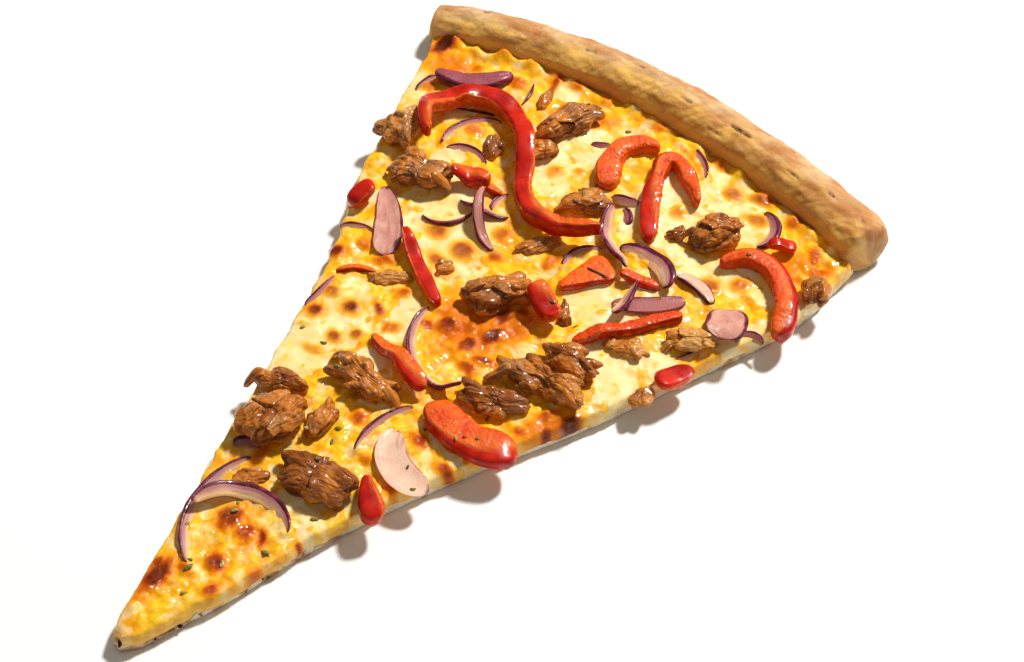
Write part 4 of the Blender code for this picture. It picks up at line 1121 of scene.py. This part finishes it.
# name, form, (start, heading, arcs), (width at start, width at end, height, blunt),
# purple side (1 left of the heading, -1 right, 0 both), and how purple the body is
ONIONS = (
    ("onion_back_crescent", "slice", ((-50, 65), 6, ((20, 64),)), (5.0, 5.4, 3.2, 2.4), 0, 0.85),
    ("onion_hook_arc", "slice", ((-35, 49), 105, ((17, -89),)), (2.2, 2.0, 2.0, 3), 1, 0.30),
    ("onion_hook_low", "slice", ((-33, 48), 48, ((12, -83),)), (2.2, 2.4, 2.0, 2.4), 1, 0.40),
    ("onion_smile", "slice", ((-24, 28), -7, ((13, 98),)), (2.3, 2.5, 1.8, 2), -1, 0.45),
    ("onion_star_long", "slice", ((-20, 37), -16, ((13, 57),)), (2.4, 2.6, 1.8, 2.4), -1, 0.50),
    ("onion_star_cross", "slice", ((-16, 41), -77, ((9, 31), (9, 34))), (2.6, 2.8, 1.8, 2.4), 0, 0.5),
    ("onion_left_petal", "petal", ((-36.6, 29.4), -37, ((22, -27),)), (4.4, 8.0, 1.6, 3), 1, 0.46),
    ("onion_long_middle", "slice", ((-5, 7), -92, ((25, 91), (6, 37))), (2.8, 2.8, 2.4, 5), -1, 0.2),
    ("onion_front_arc", "slice", ((10, -17), -122, ((17, 45),)), (2.4, 2.2, 2.0, 2.4), -1, 0.45),
    ("onion_front_petal", "petal", ((11, -24), -77, ((20, 98),)), (6.6, 8.0, 1.6, 3), 1, 0.10),
    ("onion_tip_long", "slice", ((-8.6, -48.2), -116, ((15, 38), (17, 45))), (3.0, 3.0, 2.2, 2.4),
     -1, 0.2),
    ("onion_tip_arc", "slice", ((-9, -66), 94, ((27, -143),)), (3.4, 3.4, 2.4, 2.4), 1, 0.25),
    ("onion_flat_middle", "petal", ((26, 33), 20, ((17, 39),)), (4.6, 4.6, 1.4, 3), 0, 0.70),
    ("onion_dark_back", "slice", ((7, 59), -3, ((7, 45),)), (2.4, 2.2, 2.0, 2.4), 1, 0.9),
    ("onion_crust_thread", "slice", ((11, 83), -4, ((12, -53),)), (2.6, 1.8, 2.0, 2.4), 1, 0.4),
    ("onion_petal_right", "petal", ((48, 47), -58, ((11, -12),)), (8.8, 9.8, 1.6, 4), 0, 0.42),
    ("onion_almond", "slice", ((33, 48), 20, ((12, -61),)), (3.2, 3.4, 2.0, 2.4), 0, 0.12),
    ("onion_fan_arc", "slice", ((11, 35), 102, ((11, -73),)), (2.2, 2.2, 2.0, 2.4), 1, 0.3),
    ("onion_upright_fan", "slice", ((28, 40), -81, ((12, 4),)), (1.8, 4.0, 2.4, 3), 1, 0.22),
    ("onion_wide_arc", "slice", ((18, 47), 33, ((19, -97),)), (3.4, 5.0, 2.6, 3), 1, 0.35),
    ("onion_drop", "slice", ((10, 56), -85, ((16, 68), (5, -31))), (3.4, 3.0, 2.4, 2.4), -1, 0.3),
    ("onion_right_hook", "slice", ((38, 76), -6, ((12.5, -118),)), (2.6, 4.6, 2.6, 3), 1, 0.55),
)
SUNK_ONIONS = (
    ("onion_thread_back", "slice", ((-51, 59), 94, ((7, -27),)), (2.0, 2.0, 1.9, 3), 1, 0.6),
    ("onion_thread_hook", "slice", ((-40, 60), 34, ((10, -20),)), (1.6, 1.6, 1.9, 2), -1, 0.5),
    ("onion_thread_star", "slice", ((-12, 39), 133, ((7, -83),)), (1.9, 1.9, 1.9, 2), 1, 0.3),
    ("onion_thread_left", "slice", ((-37, 14), 48, ((8, -46),)), (1.6, 1.6, 1.9, 3), 1, 0.3),
    ("onion_thread_side", "slice", ((-28, 2), -81, ((11, -16),)), (1.7, 1.7, 1.9, 3), -1, 0.6),
    ("onion_scrap_front", "slice", ((-14, -48), 74, ((6, -89),)), (3.6, 3.6, 2.2, 3), 1, 1.0),
    ("onion_thread_crust", "slice", ((-30, 78), -68, ((8, -17),)), (1.7, 1.7, 1.9, 2), 1, 0.5),
    ("onion_scrap_back", "slice", ((-7, 70), 15, ((5, 46),)), (1.9, 1.9, 2.0, 2), 1, 0.9),
    ("onion_blob_back", "slice", ((11, 58), -24, ((5, -40),)), (3.0, 3.0, 2.3, 3), 1, 1.0),
    ("onion_arc_right", "slice", ((54, 41), 103, ((8, -147),)), (1.7, 1.7, 1.9, 3), 1, 0.9),
    ("onion_pale_right", "slice", ((50, 37.5), -91, ((10, -39),)), (2.2, 1.4, 1.9, 3), -1, 0.25),
)


def onion_strip(name, form, route, size, purple_side, purple):
    """A slice is a soft lens in section, and a petal is a thin sheet with its edges up."""
    stations, share, wide, tall, base = laid_strip(name, route, size)
    ring = np.linspace(0.0, math.tau, ONION_RING + 1)[None, :]
    petal = form == "petal"
    skinned = 1.0 if purple_side and not petal else 0.0
    if petal:
        across = 0.5 * np.sign(np.cos(ring)) * np.abs(np.cos(ring)) ** 0.8
        up = 0.30 + 0.45 * (2.0 * np.abs(across)) ** 2 + 0.25 * np.sin(ring)
    else:
        across = 0.5 * np.cos(ring)
        up = 0.5 + 0.5 * np.sin(ring) * (1.0 - 0.18 * np.sin(ring) ** 8)
    seed = sum(map(ord, name)) % 89
    run = stations[:, 3][:, None]
    over = across * wide[:, None]
    vein = grain(triples(run / 9.0, over / 0.55, 0.0), 1.0, seed)
    bow = grain(triples(run / 3.5, over / 3.0, 0.0), 1.0, seed + 4.0)
    push = 0.07 * vein + 0.22 * bow * min(1.0, size[2] / 2.0)
    edge = 2.0 * across * (purple_side if purple_side else 1.0)
    if skinned:
        up = 0.5 + (up - 0.5) * (0.72 + 0.28 * edge) - ONION_DIP * (0.5 - 0.5 * edge)
    if purple_side == 0:
        edge = np.abs(edge)

    # A ring's skin side is purple first, then pink, and its other edge has soaked up the cheese.
    rim_start = 0.14 if skinned else 0.5
    if petal:
        rim_start = 0.64
    rim = ease(edge + 0.16 * bow, rim_start, rim_start + 0.34)
    if petal:
        rim = rim * min(1.0, 0.45 + 1.2 * purple)
    soaked = 0.75 * skinned * ease(-edge, -0.1, 0.9)
    blush = 0.75 * skinned * ease(edge + 0.3 * bow, -0.55, 0.15)
    if purple_side:
        rim = np.maximum(rim, (0.3 if petal else 0.75) * ease(-edge + 0.05 * vein, 0.90, 1.0))
    tips = ease(np.abs(2.0 * share - 1.0), 0.80, 1.0)[:, None]
    rim = np.maximum(rim, 0.7 * tips)
    work = swept(stations, base, wide, tall, across, up, push, end_round(stations, 0.6),
                 rim=rim, purple=purple, vein=0.5 + vein, soaked=soaked, blush=blush)
    close(work)
    return work


look = Finish("baked red onion", roughness=0.28, coat=0.5, flesh=0.30, depth=1.3)
tinge = look.plus(look.mark("purple"), look.swing(look.mottle(3.0, 3.0), 0.6))
body = look.blend(look.between(tinge, 0.0, 0.6), ONION_WHITE, ONION_PINK)
body = look.blend(look.between(look.mark("purple"), 0.45, 1.0), body, ONION_PURPLE)
body = look.blend(look.between(look.mark("vein"), 0.65, 1.1, 0.0, 0.35), body, ONION_PURPLE)
body = look.blend(look.mark("soaked"), body, ONION_SOAKED)
body = look.blend(look.mark("blush"), body, ONION_BLUSH)
skin_line = look.blend(look.between(look.mottle(2.0, 3.0, seed=5.0), 0.35, 0.7),
                       ONION_SKIN, ONION_PURPLE)
rim = look.plus(look.mark("rim"), look.swing(look.mottle(1.2, 3.0, seed=9.0), 0.3))
onion_colour = look.blend(look.between(rim, 0.3, 0.8), body, skin_line)
edge_browned = look.between(look.mottle(4.0, 3.0, seed=17.0), 0.68, 0.80, 0.0, 0.5)
onion_colour = look.group(browning, Colour=onion_colour, Amount=edge_browned)["Colour"]
veined = look.plus(look.mark("vein"), look.mottle(0.5, 3.0))
finish = look.wear(onion_colour, height=veined, relief=0.10,
                   **oiled(look, 2.0, 0.55, (0.44, 0.18), (0.1, 0.8)))
serve_strips(ONIONS, SUNK_ONIONS, onion_strip, finish, "onion")


# Herbs and burnt crumbs
# Dried herb flakes and small seeds were strewn over the slice before it was baked, and a few burnt
# crumbs stuck to the cut near the tip. Each is a tiny crumpled leaf, lying on whatever is below it.
HERB_SINK = 0.12
HERB_SCALE = 0.85
STALK_THICK = 0.35
STALK_SLIM = 0.045
STALK_TONE = 0.18
HERB_GREEN = (0.20, 0.18, 0.035)
HERB_PALE = (0.66, 0.60, 0.24)
HERB_RED = (0.42, 0.035, 0.010)
HERB_BURNT = (0.020, 0.012, 0.008)

# x, y, heading, length, thickness, and tone: 0 burnt, 0.3 green, 0.6 pale, 1 red
HERBS = (
    (0.8, -31.0, 30, 2.0, 0.5, 0.30), (1.7, -34.4, 110, 1.8, 0.5, 0.36),
    (9.3, -64.5, 20, 2.6, 0.7, 0.30), (-0.2, -77.0, 80, 2.6, 0.7, 0.34),
    (-2.4, -60.6, 60, 2.2, 0.6, 0.42), (12.0, -52.0, 40, 2.2, 0.5, 0.36),
    (4.4, -72.0, 110, 2.0, 0.5, 0.48), (3.0, -82.0, 50, 1.8, 0.5, 0.40),
    (-17.5, -14.5, 25, 1.8, 0.5, 0.32), (-2.5, 79.0, 35, 1.8, 0.5, 0.36),
    (-24.0, -14.0, 65, 1.8, 0.5, 0.44), (-3.4, -36.5, 20, 1.5, 0.9, 0.60),
    (-4.5, -41.9, 75, 2.8, 0.8, 0.56), (-1.6, -40.6, 100, 1.6, 0.6, 0.60),
    (-8.7, -20.0, 10, 1.8, 0.5, 0.32), (9.7, -10.0, 60, 1.3, 0.8, 0.62),
    (23.7, -19.7, 140, 1.3, 0.8, 0.58), (25.0, -18.2, 30, 1.3, 0.5, 1.00),
    (27.4, -16.8, 80, 1.6, 0.5, 0.34), (24.2, -9.6, 120, 1.4, 0.5, 0.22),
    (7.4, -20.8, 60, 1.5, 0.5, 0.40), (15.3, -19.8, 0, 1.0, 0.4, 0.15),
    (19.4, -30.5, 100, 1.3, 0.4, 0.20), (23.8, -34.2, 45, 1.6, 0.5, 0.36),
    (-3.3, -58.5, 130, 1.5, 0.5, 0.40), (-1.2, -75.3, 20, 1.4, 0.6, 0.44),
    (-7.5, -69.3, 70, 1.5, 0.6, 0.46), (4.6, -42.0, 15, 1.6, 0.5, 0.34),
    (10.2, -64.2, 140, 1.2, 0.6, 0.56), (18.0, 21.8, 20, 2.0, 0.4, 0.18),
    (44.0, 60.5, 30, 1.5, 0.5, 0.34), (-13.0, 77.0, 60, 1.4, 0.5, 0.32),
    (2.0, 60.0, 120, 1.4, 0.5, 0.36),
)

# Bare stalks of the herb: x, y, heading, length
STALKS = ((19.2, 37.0, 5, 6.4), (23.8, 22.6, 65, 1.8))

# Burnt crumbs on the right cut: distance from the tip, height, size
BURNT_CRUMBS = ((14.4, 1.6, 1.5), (9.0, 1.3, 0.8), (34.0, 1.6, 0.6))


def leaf(place, heading, length, thick, seed, tone, slim=0.24):
    """A crumpled flake about twice as long as it is wide, or a stalk where slim is small."""
    work = bmesh.new()
    layer = work.verts.layers.float.new("tone")
    bmesh.ops.create_icosphere(work, subdivisions=2, radius=1.0)
    crumple = grain(np.array([vertex.co for vertex in work.verts]), 0.8, seed)
    for vertex, bent in zip(work.verts, crumple):
        vertex.co = (0.5 * length * vertex.co.x * (1.0 + 0.3 * bent),
                     slim * length * vertex.co.y * (1.0 + 0.6 * bent),
                     0.5 * thick * (vertex.co.z + 1.1 * bent))
        vertex[layer] = tone
    turn = Matrix.Rotation(math.radians(heading), 3, "Z")
    bmesh.ops.rotate(work, verts=work.verts[:], cent=(0.0, 0.0, 0.0), matrix=turn)
    bmesh.ops.translate(work, verts=work.verts[:], vec=place)
    return work


on_top = surface_of([thing for thing in bpy.data.objects
                     if thing.name.startswith(("torn_", "baked_", "sunk_", "cheese_"))])


def landed(x, y):
    """Height of whatever lies uppermost at a place."""
    return on_top.ray_cast(Vector((x, y, ABOVE)), -UP)[0].z


works = []
for row, (x, y, heading, length, thick, tone) in enumerate(HERBS):
    place = (x, y, landed(x, y) + 0.5 * thick - HERB_SINK)
    works.append(leaf(place, heading, HERB_SCALE * length, thick, row + 2.0, tone))
for row, (x, y, heading, length) in enumerate(STALKS):
    place = (x, y, landed(x, y) + 0.15)
    works.append(leaf(place, heading, length, STALK_THICK, row + 40.0, STALK_TONE, STALK_SLIM))
for row, (away, height, size) in enumerate(BURNT_CRUMBS):
    x, y, _ = spots(away, float(right_cut(away)), 0.0)
    works.append(leaf((x, y, height), 40.0 * row, size, 0.8 * size, row + 60.0, 0.0))

look = Finish("dried herbs", roughness=0.6, coat=0.1)
tone = look.mark("tone")
herb_colour = look.blend(look.between(tone, 0.12, 0.28), HERB_BURNT, HERB_GREEN)
herb_colour = look.blend(look.between(tone, 0.34, 0.60), herb_colour, HERB_PALE)
herb_colour = look.blend(look.between(tone, 0.75, 0.95), herb_colour, HERB_RED)
speckle = look.between(look.mottle(0.5, 3.0, 0.6), 0.35, 0.70, 0.65, 1.25)
herb_colour = look.blend(1.0, herb_colour, speckle, "MULTIPLY")
finish = look.wear(herb_colour, height=look.mottle(0.35, 3.0, 0.6), relief=0.10)
served("dried_herbs", joined(works), finish, "cheese")


# Floor and light
# A plain white table top, one lamp high behind the crust and a bright even room.
FLOOR_WHITE = (0.92, 0.92, 0.92)
LAMP_TURN = math.radians(8.0)
LAMP_RISE = math.radians(53.0)
LAMP_DISTANCE = 1300.0
LAMP_SIZE = 170.0
LAMP_POWER = 23.0
LAMP_COLOUR = (1.0, 0.97, 0.92)
ROOM_LIGHT = 0.25
ROOM_COLOUR = (1.0, 0.92, 0.82)
work = bmesh.new()
bmesh.ops.create_grid(work, x_segments=1, y_segments=1, size=3.0)
table = bpy.data.meshes.new("table_top")
work.to_mesh(table)
work.free()
look = Finish("table top", roughness=0.9)
table.materials.append(look.wear(FLOOR_WHITE))
table_top = bpy.data.objects.new("table_top", table)
bpy.context.scene.collection.objects.link(table_top)

lamp_way = Vector((math.sin(LAMP_TURN) * math.cos(LAMP_RISE),
                   math.cos(LAMP_TURN) * math.cos(LAMP_RISE), math.sin(LAMP_RISE)))
lamp = bpy.data.lights.new("window", "AREA")
lamp.shape = "DISK"
lamp.size = LAMP_SIZE * MM
lamp.energy = LAMP_POWER
lamp.color = LAMP_COLOUR
window = bpy.data.objects.new("window", lamp)
window.location = lamp_way * LAMP_DISTANCE * MM
window.rotation_mode = "QUATERNION"
window.rotation_quaternion = (-lamp_way).to_track_quat("-Z", "Y")
bpy.context.scene.collection.objects.link(window)

room = bpy.data.worlds.new("room")
room.use_nodes = True
room.node_tree.nodes["Background"].inputs["Color"].default_value = (*ROOM_COLOUR, 1.0)
room.node_tree.nodes["Background"].inputs["Strength"].default_value = ROOM_LIGHT
bpy.context.scene.world = room
bpy.context.scene.view_settings.view_transform = "Standard"
